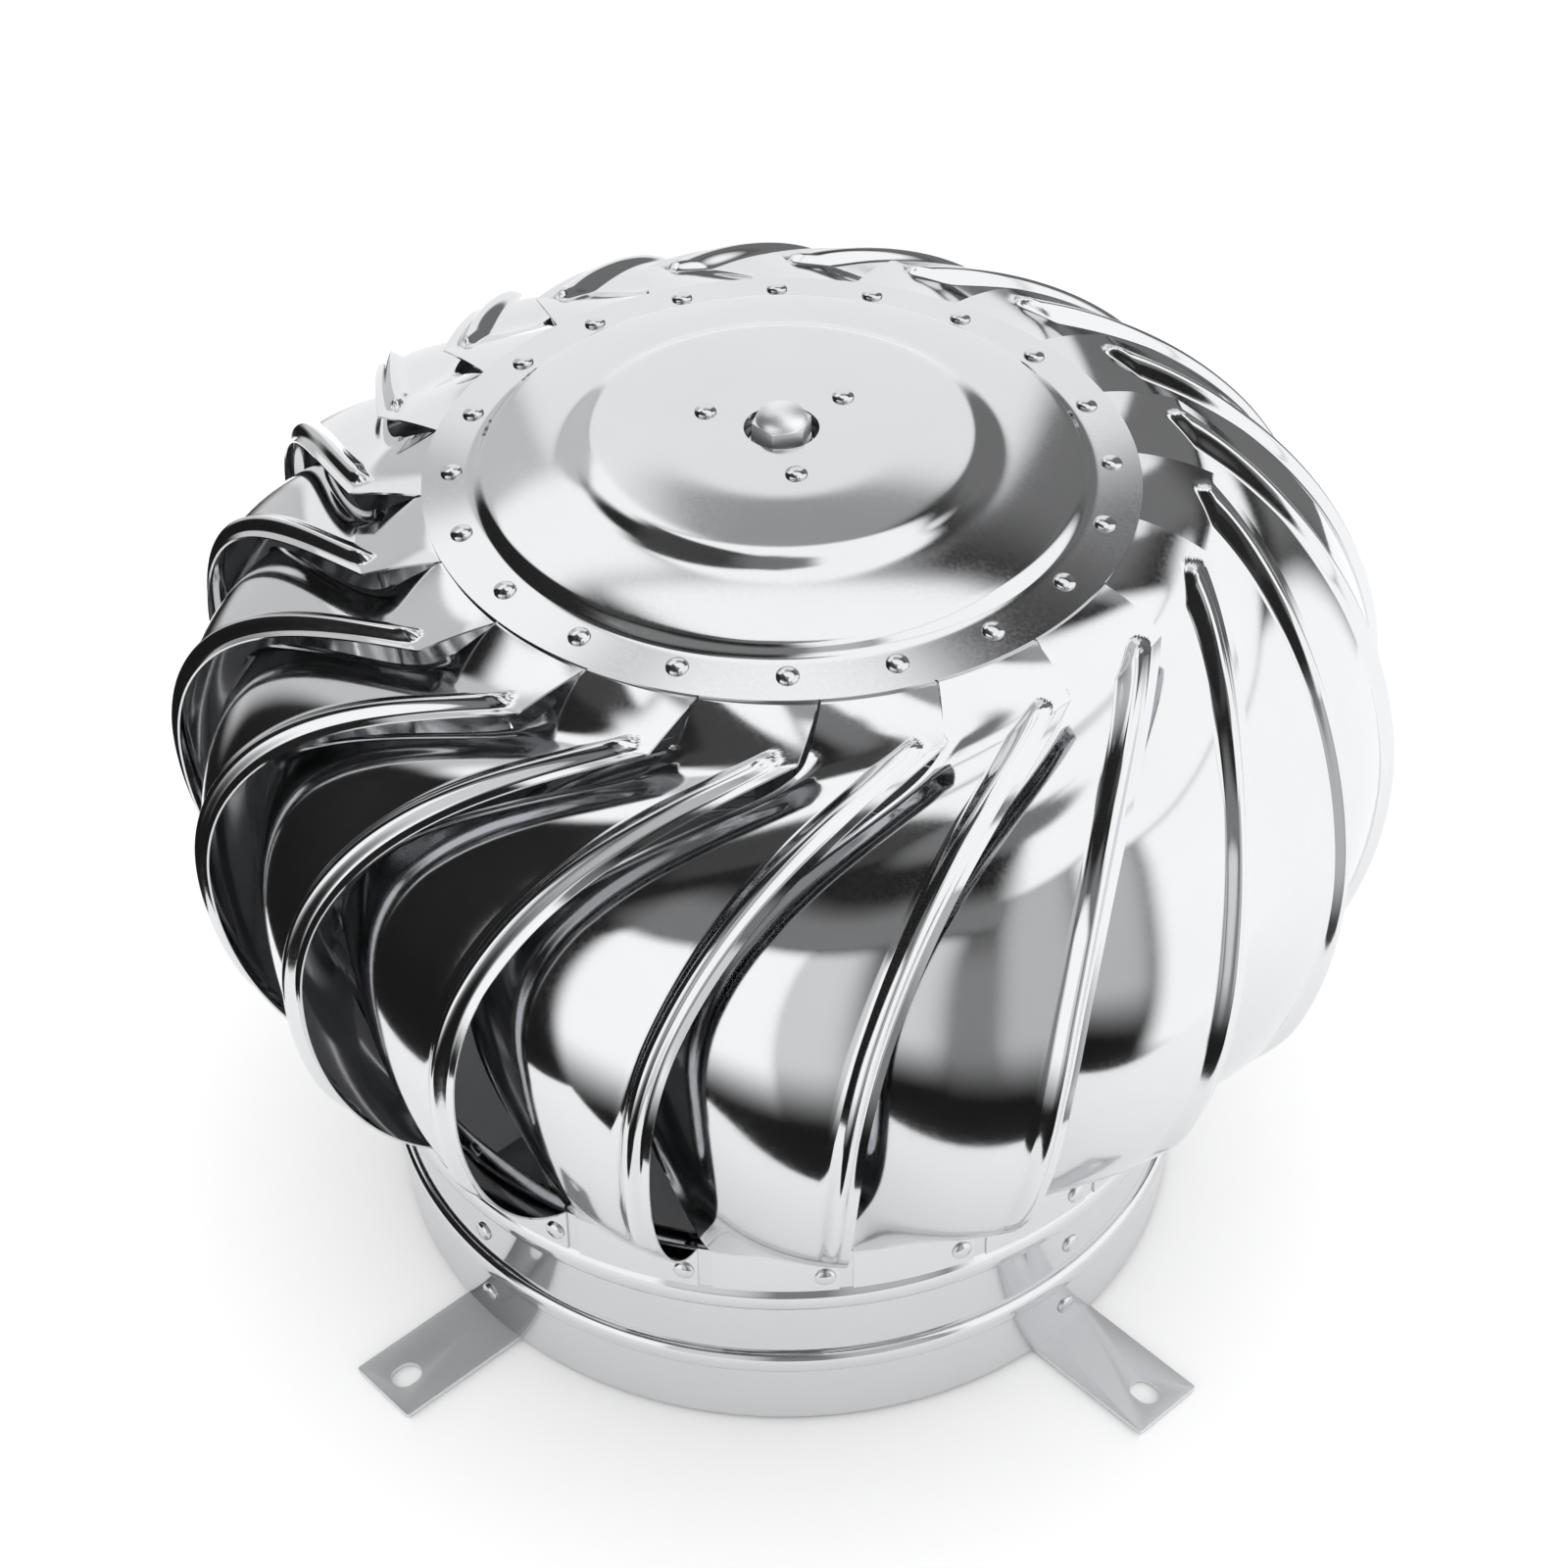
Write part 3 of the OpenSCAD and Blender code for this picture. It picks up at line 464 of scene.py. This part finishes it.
# Spindle: a fixed axle turned from bright bar, with a nut and washer under the clamp, and a thick middle that
# carries the lower bearing. Turning leaves very fine rings round the axis. The cap nut on its top end has
# frosted zinc plating, pale and almost matt.
turned_steel = steel("turned bright steel", "#c4c5c7", 0.14, 0.24, 10, 0.02, 0.4, (1, 1, 8))
frosted_steel = steel("frosted zinc plating", "#eeeff0", 0.42, 0.56, 4, 0.02, 0.4)
for node, edge, slot, finish in (
        ("spindle", 0.3, "turned_steel", turned_steel),
        ("spindle_washer", 0.2, "frame_steel", frame_steel),
        ("spindle_nut", 0.6, "frame_steel", frame_steel),
        ("inner_spacer", 0.2, "turned_steel", turned_steel),
        ("cap_washer", 0.2, "turned_steel", turned_steel),
        ("spindle_cap", 0.5, "rivet_steel", frosted_steel)):
    eased(node + "_edged", node, edge, finish, "mount")

# Ball bearings: ground rings and balls, close to a mirror, warm softly glossy brass cages, and thin dull grey
# shields. Closed in by the housing, they keep their own solids and get only their finish.
cage_brass = steel("pressed brass", "#c5a25a", 0.22, 0.36, 5, 0.02, 0.5)
ground_steel = steel("ground bearing steel", "#c9cbce", 0.06, 0.12, 6, 0.01, 0.3, (1, 1, 6))
shield_steel = steel("pressed shield steel", "#8f9194", 0.3, 0.4, 6, 0.02, 0.4)
for node, finish in (("bearing_inner_rings", ground_steel), ("bearing_outer_rings", ground_steel),
                     ("bearing_balls", ground_steel), ("bearing_cages", cage_brass),
                     ("bearing_shields", shield_steel), ("outer_spacer", turned_steel),
                     ("housing_circlip", shield_steel)):
    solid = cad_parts[node]
    solid.data.materials.clear()
    solid.data.materials.append(finish)

# Bearing housing: a turned steel cup with a flange, hung under the top plate by three rivets.
# The two bearings sit in its bore.
eased("bearing_housing_edged", "bearing_housing", 0.4, turned_steel, "rotor")

# Top plate: spun from 0.8 mm sheet, with a sloping flange for the rivets, a riser, a crowned band and a
# raised centre that the bearing housing hangs from. The riser and the inner step have rounded bends.
PLATE_SHEET = 0.8
RIM_R = 100.4
RIM_Z = 262.0
FLANGE_W = 14.7
FLANGE_SLOPE = math.radians(9)
FLANGE_R = RIM_R - FLANGE_W
FLANGE_Z = RIM_Z + FLANGE_W * math.tan(FLANGE_SLOPE)
RISER_H, RISER_RUN = 2.6, 1.8
BAND_RISE = 5.4
BAND_CONE = 3.7
STEP_R, STEP_H, STEP_RUN = 58.0, 2.4, 1.4
DISC_RISE = 2.2
HUB_HOLE_R = 10.5
HUB_FLAT_R = 31.0
STEP_Z = FLANGE_Z + RISER_H + BAND_RISE
HUB_Z = STEP_Z + STEP_H + DISC_RISE
DISC_SKEW, CROWN_SKEW = 1.3, 2.5
RISER_BEND, STEP_BEND = 0.8, 2.3
BEND_BLEND = 3.0
BEND_SPREAD, BEND_SAMPLES = 3, 25
PLATE_POINTS = 130
PLATE_SHARP = 70


def plate_height(r):
    """Height of the plate's top side, before its bends are rounded."""
    disc = HUB_Z - DISC_RISE * np.clip((r - HUB_FLAT_R) / (STEP_R - STEP_RUN - HUB_FLAT_R), 0, 1) ** DISC_SKEW
    across = np.clip((r - STEP_R) / (FLANGE_R - RISER_RUN - STEP_R), 0, 1)
    band = STEP_Z - BAND_CONE * across - (BAND_RISE - BAND_CONE) * across ** CROWN_SKEW
    corners = [0, STEP_R - STEP_RUN, STEP_R, FLANGE_R - RISER_RUN, FLANGE_R, 2 * RIM_R]
    ends = [0, 0, 1, 1, 2, 2]
    place = np.interp(r, corners, ends)
    flange = RIM_Z + (RIM_R - r) * math.tan(FLANGE_SLOPE)
    return np.where(place < 1, disc + (band - disc) * place, band + (flange - band) * (place - 1))


def rounded_height(r):
    """The plate's height with every bend rounded, the inner step more than the riser."""
    offsets = np.linspace(-BEND_SPREAD, BEND_SPREAD, BEND_SAMPLES)
    share = np.exp(-offsets ** 2 / 2)
    bend = RISER_BEND + (STEP_BEND - RISER_BEND) / (1 + np.exp((r - (STEP_R + FLANGE_R) / 2) / BEND_BLEND))
    return sum(w * plate_height(r + bend * o) for w, o in zip(share, offsets)) / share.sum()


# Satin spun stainless sheet: nearly a mirror, with a fine grain and the long waves that spinning leaves.
plate_steel = steel("satin spun stainless sheet", "#d9dadc", 0.08, 0.14, 80, 0.14, 1.0)
plate_r = np.linspace(HUB_HOLE_R, RIM_R, PLATE_POINTS)
plate_line = np.stack([plate_r, rounded_height(plate_r)], axis=1)
turned("top_plate_sheet", sheet_section(plate_line, PLATE_SHEET), plate_steel,
       "rotor", ["top_plate"], PLATE_SHARP)

# Hub rivets and vane rivets: three hold the bearing housing under the plate's centre, and twenty hold the
# vanes' upper tabs under its flange. All are of the same bright steel.
VANE_COUNT = 20
PITCH = 360 / VANE_COUNT
SHOULDER_A = 12.7
RIVET_LAG = 0.9
HUB_RIVET_R = 22.5
HUB_RIVET_TURN = math.radians(87.1)
FLANGE_RIVET_IN = 8.3
HUB_GRIP = 3.85
TAB_GRIP = 1.45
rivets("hub_rivet_heads", [rivet(HUB_GRIP)], [(3, HUB_RIVET_R, HUB_Z, HUB_RIVET_TURN, 0.0)],
       rivet_steel, "rotor", "hub_rivets")
rivets("vane_rivet_heads", [rivet(TAB_GRIP)],
       [(VANE_COUNT, RIM_R - FLANGE_RIVET_IN, RIM_Z + FLANGE_RIVET_IN * math.tan(FLANGE_SLOPE),
         math.radians(SHOULDER_A - RIVET_LAG), FLANGE_SLOPE)],
       rivet_steel, "rotor", "vane_rivets")

# Rotor ring: a hoop of 0.8 mm sheet that ties the vanes' lower tabs together, just outside the collar's neck.
NECK_GAP = 3.4
RING_IN = COLLAR_R + NECK_GAP
RING_SHEET = 0.8
RING_OUT = RING_IN + RING_SHEET
RING_BOTTOM = 65.5
TAB_H = 15.5
ring_line = np.array([(RING_OUT, RING_BOTTOM + share * TAB_H) for share in (0, 1 / 2, 1)])
turned("rotor_ring_sheet", sheet_section(ring_line, -RING_SHEET), collar_steel,
       "rotor", ["bottom_ring"])

# Vanes: twenty strips of 0.6 mm mirror-polished sheet, pressed to the head's curve and swept round the axis,
# with a rib along the free edge and riveted tabs at both ends. Both edges are drawn unrolled, as (angle,
# radius, height), and a geometry tree lays the sheet between them.
VANE_SHEET = 0.6
# The head's outline. Its places are angles t: 0 at the rim, SHOULDER_T at the neck's foot, 90 at the belly.
HEAD_R = 177.3
BELLY_Z = 177.0
BELLY_IN = 79.0
SHOULDER_T = 15.6
# How far each vane sweeps back round the axis, in degrees, and how soon.
SWEEP = 33.6
SWEEP_DECAY = 29.0
SWEEP_BACK, BACK_START_T, BACK_SKEW = 2.6, 70.0, 1.3
TAB_LEAN = 3.5
TAB_REACH = 13.7
# How far the hidden edge lies inside the outline, and the sheet's width as a share of the pitch.
SHOULDER_DROP = 9.0
SCOOP_DEPTH, SCOOP_SKEW, SCOOP_START = 22.5, 1.8, 0.35
TAB_SHARE = 0.9
LAP_SHARE = 0.2
TAB_GAP = 0.4
SEAT_GAP = 0.05
# The rib's section, where it fades out below, and its blunt end in the neck. FAR_BELOW is for rows that lie
# deep under that end.
RIB_IN, RIB_W, RIB_H, RIB_STEEPNESS = 2.2, 6.5, 2.6, 1.3
RIB_STOP, RIB_FADE = 0.8, 0.10
RIB_END_ROUND, RIB_END_BLUNT = 1.6, 0.5
RIB_END_BACK = 1.8
RIB_RUN_ON = 8.0
RIB_TAPER = 1.0
FAR_BELOW = 300
# The least share of its inset that a column keeps in the neck, how far down the scoop still starts evenly,
# and how many rows ease the hidden edge's bend at the shoulder.
LEAST_INSET = 0.15
EVEN_UNTIL = 0.25
SHOULDER_ROUND = 12
EASED_LEAST = 0.1
# The hidden edge's lip, and the grid's rows and columns.
LIP_W, LIP_H = 2.5, 0.9
VANE_ROWS, NECK_ROWS, FOOT_ROWS = 110, 28, 6
ROW_SKEW = 1.2
EDGE_COLUMNS, RIB_COLUMNS, SHEET_COLUMNS, LIP_COLUMNS = 5, 15, 25, 5
FOOT_LAP = 0.5
SKIN_WELD = 0.01
VANE_SHARP = 50
TAB_R = RING_OUT + SEAT_GAP + VANE_SHEET
CURVE_TOP = RIM_Z - PLATE_SHEET - SEAT_GAP
LOWER_R = HEAD_R - BELLY_IN
CREASE_T = math.degrees(math.acos((TAB_R - LOWER_R) / BELLY_IN))
LOWER_H = (BELLY_Z - RING_BOTTOM - TAB_H) / math.sin(math.radians(CREASE_T))
END_T = 90 + CREASE_T
TOP_WIDTH = PITCH - TAB_GAP
BOTTOM_WIDTH = PITCH * TAB_SHARE


def head_curve(t):
    """Radius, height, outward normal and length for a radian of t, on the head's outline."""
    turned_t = np.radians(t)
    half_w = np.where(t <= 90, HEAD_R - RIM_R, BELLY_IN)
    half_h = np.where(t <= 90, CURVE_TOP - BELLY_Z, LOWER_H)
    middle = np.where(t <= 90, RIM_R, LOWER_R)
    normal = np.stack([half_h * np.sin(turned_t), half_w * np.cos(turned_t)], axis=1)
    normal /= np.linalg.norm(normal, axis=1)[:, None]
    along = np.hypot(half_w * np.cos(turned_t), half_h * np.sin(turned_t))
    return middle + half_w * np.sin(turned_t), BELLY_Z + half_h * np.cos(turned_t), normal, along


def eased_rows(rows, middle):
    """The same rows with the bend at the middle one rounded, less and less towards the ends of its reach."""
    eased_line = rows.copy()
    offsets = np.arange(-SHOULDER_ROUND, SHOULDER_ROUND + 1)
    for i in range(middle - NECK_ROWS + 1, middle + 2 * NECK_ROWS):
        reach = max(0.0, 1 - abs(i - middle) / (NECK_ROWS if i < middle else 2 * NECK_ROWS))
        share = np.exp(-(offsets / (EASED_LEAST + SHOULDER_ROUND / 2 * reach)) ** 2 / 2)
        eased_line[i] = share @ rows[np.maximum(i + offsets, 0)] / share.sum()
    return eased_line


def vane_edges():
    """Rows down a vane: its free and hidden edges, what the tree needs of each row, and the rib's cut."""
    s = np.linspace(0, 1, NECK_ROWS + 1)[:-1]
    r, z, normal, along = head_curve(SHOULDER_T * s)
    along_neck = along.mean()
    drop = SHOULDER_DROP * s
    lean = TAB_LEAN * (1 - s)
    neck = np.stack([lean, r, z, lean - TOP_WIDTH, r - normal[:, 0] * drop, z - normal[:, 1] * drop], axis=1)

    x = np.linspace(0, 1, VANE_ROWS) ** ROW_SKEW
    t = SHOULDER_T + (END_T - SHOULDER_T) * x
    r, z, normal, along = head_curve(t)
    whole = 1 - math.exp(-(END_T - SHOULDER_T) / SWEEP_DECAY)
    faded = (1 - np.exp(-(t - SHOULDER_T) / SWEEP_DECAY)) / whole
    back = SWEEP_BACK * (np.clip(t - BACK_START_T, 0, None) / (END_T - BACK_START_T)) ** BACK_SKEW
    sweep = back - SWEEP * faded
    bulge = PITCH * (1 + LAP_SHARE) - (TOP_WIDTH + BOTTOM_WIDTH) / 2
    width = TOP_WIDTH + (BOTTOM_WIDTH - TOP_WIDTH) * x + bulge * np.sin(np.pi * x)
    depth = SHOULDER_DROP * (1 - x) + SCOOP_DEPTH * np.sin(np.pi * x ** SCOOP_SKEW)
    body = np.stack([sweep, r, z, sweep - width, r - normal[:, 0] * depth, z - normal[:, 1] * depth], axis=1)
    turn_rate = SWEEP / SWEEP_DECAY * np.exp(-(t - SHOULDER_T) / SWEEP_DECAY)
    aside = r * turn_rate / along
    strip = np.radians(width) * r / np.hypot(1, aside)
    rib = np.clip((RIB_STOP - x) / RIB_FADE, 0, 1)
    above = math.radians(SHOULDER_T) * along_neck * (1 - s)
    run_on = np.radians(TAB_LEAN) * r[0] / above[0]
    slant = (aside[0] - run_on) / math.hypot(1, aside[0])
    shift = slant * np.interp(above, [0, RIB_RUN_ON, above[0]], [0, RIB_RUN_ON, 0])
    widen = strip[0] * (1 + RIB_TAPER * np.clip((above - RIB_RUN_ON) / (above[0] - RIB_RUN_ON), 0, 1))

    seat = np.array([RIM_R - TAB_REACH, RIM_R - TAB_REACH / 2])
    under = (PLATE_SHEET + SEAT_GAP) / math.cos(FLANGE_SLOPE)
    seat_z = RIM_Z + (RIM_R - seat) * math.tan(FLANGE_SLOPE) - under
    flat = 0 * seat
    tab = np.stack([flat + TAB_LEAN, seat, seat_z, flat + TAB_LEAN - TOP_WIDTH, seat, seat_z], axis=1)
    foot_z = np.linspace(RING_BOTTOM + TAB_H - FOOT_LAP, RING_BOTTOM, FOOT_ROWS)
    end = SWEEP_BACK - SWEEP + 0 * foot_z
    foot = np.stack([end, TAB_R + 0 * end, foot_z, end - BOTTOM_WIDTH, TAB_R + 0 * end, foot_z], axis=1)
    rows = np.concatenate([tab, neck, body, foot])
    rows[:, 3:] = eased_rows(rows[:, 3:], len(tab) + len(neck))
    values = {
        "strip": np.concatenate([flat + widen[0], widen, strip, 0 * foot_z + strip[-1]]) * MM,
        "shift": np.concatenate([flat, shift, 0 * x, 0 * foot_z]) * MM,
        "above": np.concatenate([flat + above[0], above, -x * FAR_BELOW, 0 * foot_z - FAR_BELOW]) * MM
        + RIB_END_BACK * MM,
        "raised": np.concatenate([flat, 0 * s + 1, np.sin(rib * np.pi / 2), 0 * foot_z]),
        "even": np.concatenate([flat + 1, 0 * s + 1, np.clip(1 - x / EVEN_UNTIL, 0, 1) * (1 - SCOOP_START)
                                + SCOOP_START, 0 * foot_z + 1])}
    cut = aside[0] / math.hypot(1, aside[0])
    return rows[:, :3], rows[:, 3:], values, cut


def vane_section():
    """Columns across a vane: millimetres from its edges, share of the width between, and raised height."""
    edge = np.linspace(0, RIB_IN, EDGE_COLUMNS)
    side = np.linspace(-1, 1, RIB_COLUMNS)[1:]
    rib = RIB_IN + RIB_W * (side + 1) / 2
    near = [(x, 0, 0) for x in edge]
    near += [(x, 0, RIB_H * math.cos(v * math.pi / 2) ** RIB_STEEPNESS) for x, v in zip(rib, side)]
    middle = [(RIB_IN + RIB_W, y, 0) for y in np.linspace(0, 1, SHEET_COLUMNS)[1:]]
    lip = [(RIB_IN + RIB_W + LIP_W * s, 1, LIP_H * s * s) for s in np.linspace(0, 1, LIP_COLUMNS)[1:]]
    return np.array(near + middle + lip)


def guide(name, points, values):
    """A row of loose points that a tree reads its places and named values from."""
    mesh = bpy.data.meshes.new(name)
    mesh.from_pydata([tuple(p) for p in points], [], [])
    for label, numbers in values.items():
        mesh.attributes.new(label, "FLOAT", "POINT").data.foreach_set("value", numbers)
    source = bpy.data.objects.new(name, mesh)
    bpy.context.scene.collection.objects.link(source)
    return source


def vane_tree():
    """Lays a grid between unrolled edges, raises its rib, rolls it round the axis and makes it thick."""
    tree = bpy.data.node_groups.new("pressed vane", "GeometryNodeTree")
    for label, kind in (("Free edge", "Object"), ("Hidden edge", "Object"), ("Section", "Object"),
                        ("Rows", "Int"), ("Columns", "Int"), ("Fixed width", "Float"), ("Rib cut", "Float"),
                        ("Rib end", "Float"), ("Sheet", "Float"), ("Turn", "Float"), ("Finish", "Material")):
        tree.interface.new_socket(label, in_out="INPUT", socket_type="NodeSocket" + kind)
    tree.interface.new_socket("Mesh", in_out="OUTPUT", socket_type="NodeSocketGeometry")
    sizes = add(tree, "NodeGroupInput").outputs
    math_node, vector_node = "ShaderNodeMath", "ShaderNodeVectorMath"
    place = add(tree, "GeometryNodeInputPosition").outputs[0]
    index = add(tree, "GeometryNodeInputIndex").outputs[0]
    share = add(tree, math_node, {0: index, 1: sizes["Columns"]}, operation="DIVIDE").outputs[0]
    row = add(tree, math_node, {0: share}, operation="FLOOR").outputs[0]
    column = add(tree, math_node, {0: index, 1: sizes["Columns"]}, operation="MODULO").outputs[0]
    picked = {}
    for label, at in (("Section", column), ("Hidden edge", row), ("Free edge", row)):
        shape = add(tree, "GeometryNodeObjectInfo", {"Object": sizes[label]}).outputs["Geometry"]
        picked[label] = add(tree, "GeometryNodeSampleIndex", {"Geometry": shape, "Value": place, "Index": at},
                            data_type="FLOAT_VECTOR").outputs[0]
    for label in ("strip", "shift", "above", "raised", "even"):
        value = add(tree, "GeometryNodeInputNamedAttribute", data_type="FLOAT", Name=label).outputs[0]
        picked[label] = add(tree, "GeometryNodeSampleIndex",
                            {"Geometry": shape, "Value": value, "Index": row}, data_type="FLOAT").outputs[0]
    part = add(tree, "ShaderNodeSeparateXYZ", {"Vector": picked["Section"]}).outputs
    strip = picked["strip"]
    hidden, free = picked["Hidden edge"], picked["Free edge"]
    spare = add(tree, math_node, {0: strip, 1: sizes["Fixed width"]}, operation="SUBTRACT").outputs[0]
    least = add(tree, math_node, {0: part["X"], 1: LEAST_INSET}, operation="MULTIPLY").outputs[0]
    moved = add(tree, math_node, {0: part["X"], 1: picked["shift"]}, operation="SUBTRACT").outputs[0]
    fixed = add(tree, math_node, {0: moved, 1: least}, operation="MAXIMUM").outputs[0]
    room = add(tree, math_node, {0: spare, 1: picked["shift"]}, operation="ADD").outputs[0]
    reach = add(tree, math_node, {0: part["Y"], 1: room, 2: fixed}, operation="MULTIPLY_ADD").outputs[0]
    u = add(tree, math_node, {0: reach, 1: strip}, operation="DIVIDE").outputs[0]
    rest = add(tree, math_node, {0: 1.0, 1: picked["even"]}, operation="SUBTRACT").outputs[0]
    slope = add(tree, math_node, {0: rest, 1: u, 2: picked["even"]}, operation="MULTIPLY_ADD").outputs[0]
    dip = add(tree, math_node, {0: slope, 1: u}, operation="MULTIPLY").outputs[0]
    way = add(tree, vector_node, {0: hidden, 1: free}, operation="SUBTRACT").outputs[0]
    shares = add(tree, "ShaderNodeCombineXYZ", {"X": u, "Y": dip, "Z": dip}).outputs[0]
    laid = add(tree, vector_node, {0: way, 1: shares, 2: free}, operation="MULTIPLY_ADD").outputs[0]
    inward = add(tree, vector_node, {0: way, 1: (0, 1, 1)}, operation="MULTIPLY").outputs[0]
    outward = add(tree, vector_node, {0: inward}, operation="NORMALIZE").outputs[0]
    cut = add(tree, math_node, {0: part["X"], 1: sizes["Rib cut"]}, operation="MULTIPLY").outputs[0]
    left = add(tree, math_node, {0: cut, 1: picked["above"]}, operation="SUBTRACT").outputs[0]
    full = add(tree, math_node, {0: left, 1: sizes["Rib end"]}, operation="DIVIDE", use_clamp=True).outputs[0]
    blunt = add(tree, math_node, {0: full, 1: RIB_END_BLUNT}, operation="POWER").outputs[0]
    height = add(tree, math_node, {0: part["Z"], 1: picked["raised"]}, operation="MULTIPLY").outputs[0]
    lift = add(tree, math_node, {0: height, 1: blunt}, operation="MULTIPLY").outputs[0]
    down = add(tree, math_node, {0: lift, 1: -1.0}, operation="MULTIPLY").outputs[0]
    rib = add(tree, vector_node, {0: outward, "Scale": down}, operation="SCALE").outputs[0]
    raised = add(tree, vector_node, {0: laid, 1: rib}, operation="ADD").outputs[0]
    polar = add(tree, "ShaderNodeSeparateXYZ", {"Vector": raised}).outputs
    angle = add(tree, math_node, {0: polar["X"], 1: sizes["Turn"]}, operation="ADD").outputs[0]
    along_x = add(tree, math_node, {0: angle}, operation="COSINE").outputs[0]
    along_y = add(tree, math_node, {0: angle}, operation="SINE").outputs[0]
    x = add(tree, math_node, {0: along_x, 1: polar["Y"]}, operation="MULTIPLY").outputs[0]
    y = add(tree, math_node, {0: along_y, 1: polar["Y"]}, operation="MULTIPLY").outputs[0]
    rolled = add(tree, "ShaderNodeCombineXYZ", {"X": x, "Y": y, "Z": polar["Z"]}).outputs[0]
    grid = add(tree, "GeometryNodeMeshGrid", {"Vertices X": sizes["Rows"], "Vertices Y": sizes["Columns"]})
    inner = add(tree, "GeometryNodeSetPosition",
                {"Geometry": grid.outputs["Mesh"], "Position": rolled}).outputs[0]
    back = add(tree, "GeometryNodeExtrudeMesh",
               {"Mesh": inner, "Offset Scale": sizes["Sheet"], "Individual": False})
    face = add(tree, "GeometryNodeFlipFaces", {"Mesh": inner})
    both = add(tree, "GeometryNodeJoinGeometry")
    for skin in (back, face):
        tree.links.new(skin.outputs["Mesh"], both.inputs["Geometry"])
    closed = add(tree, "GeometryNodeMergeByDistance",
                 {"Geometry": both.outputs[0], "Distance": SKIN_WELD * MM})
    solid = add(tree, "GeometryNodeRealizeInstances", {"Geometry": closed.outputs[0]})
    finish = add(tree, "GeometryNodeSetMaterial", {"Geometry": solid.outputs[0], "Material": sizes["Finish"]})
    add(tree, "NodeGroupOutput", {"Mesh": finish.outputs["Geometry"]})
    return tree


# Mirror-polished stainless sheet: a clear mirror, bent a little by the pressing, with a breath of haze.
vane_steel = steel("mirror polished stainless sheet", "#dcdddf", 0.07, 0.13, 60, 0.12, 1.2)
free_edge, hidden_edge, row_values, rib_cut = vane_edges()
section = vane_section()
to_frame = np.array([math.pi / 180, MM, MM])
guides = [guide("free edge", free_edge * to_frame, row_values),
          guide("hidden edge", hidden_edge * to_frame, {}),
          guide("section", section * np.array([MM, 1, MM]), {})]
pressed_vane = vane_tree()
for k in range(VANE_COUNT):
    vane = grown(f"vane_{k + 1:02d}_sheet", pressed_vane, {
        "Free edge": guides[0], "Hidden edge": guides[1], "Section": guides[2], "Rows": len(free_edge),
        "Columns": len(section), "Fixed width": (RIB_IN + RIB_W + LIP_W) * MM, "Rib cut": rib_cut,
        "Rib end": RIB_END_ROUND * MM, "Sheet": VANE_SHEET * MM, "Turn": math.radians(SHOULDER_A + k * PITCH),
        "Finish": vane_steel})
    settled(vane, "rotor", [f"vane_{k + 1:02d}"], VANE_SHARP)
for source in guides:
    bpy.data.objects.remove(source)

# Tab rivets: twenty rivets hold the vanes' lower tabs on the rotor ring. Their tails are set low, to clear
# the collar's neck as the rotor turns.
TAB_RIVET_A = 1.8
TAB_RIVET_Z = 6.0
TAB_TAIL_H = 1.0
TAB_RIVET_TURN = math.radians(SHOULDER_A + SWEEP_BACK - SWEEP - TAB_RIVET_A)
rivets("tab_rivet_heads", [rivet(TAB_GRIP, TAB_TAIL_H)],
       [(VANE_COUNT, TAB_R, RING_BOTTOM + TAB_RIVET_Z, TAB_RIVET_TURN, math.pi / 2)],
       rivet_steel, "rotor", "tab_rivets")

low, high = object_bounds()
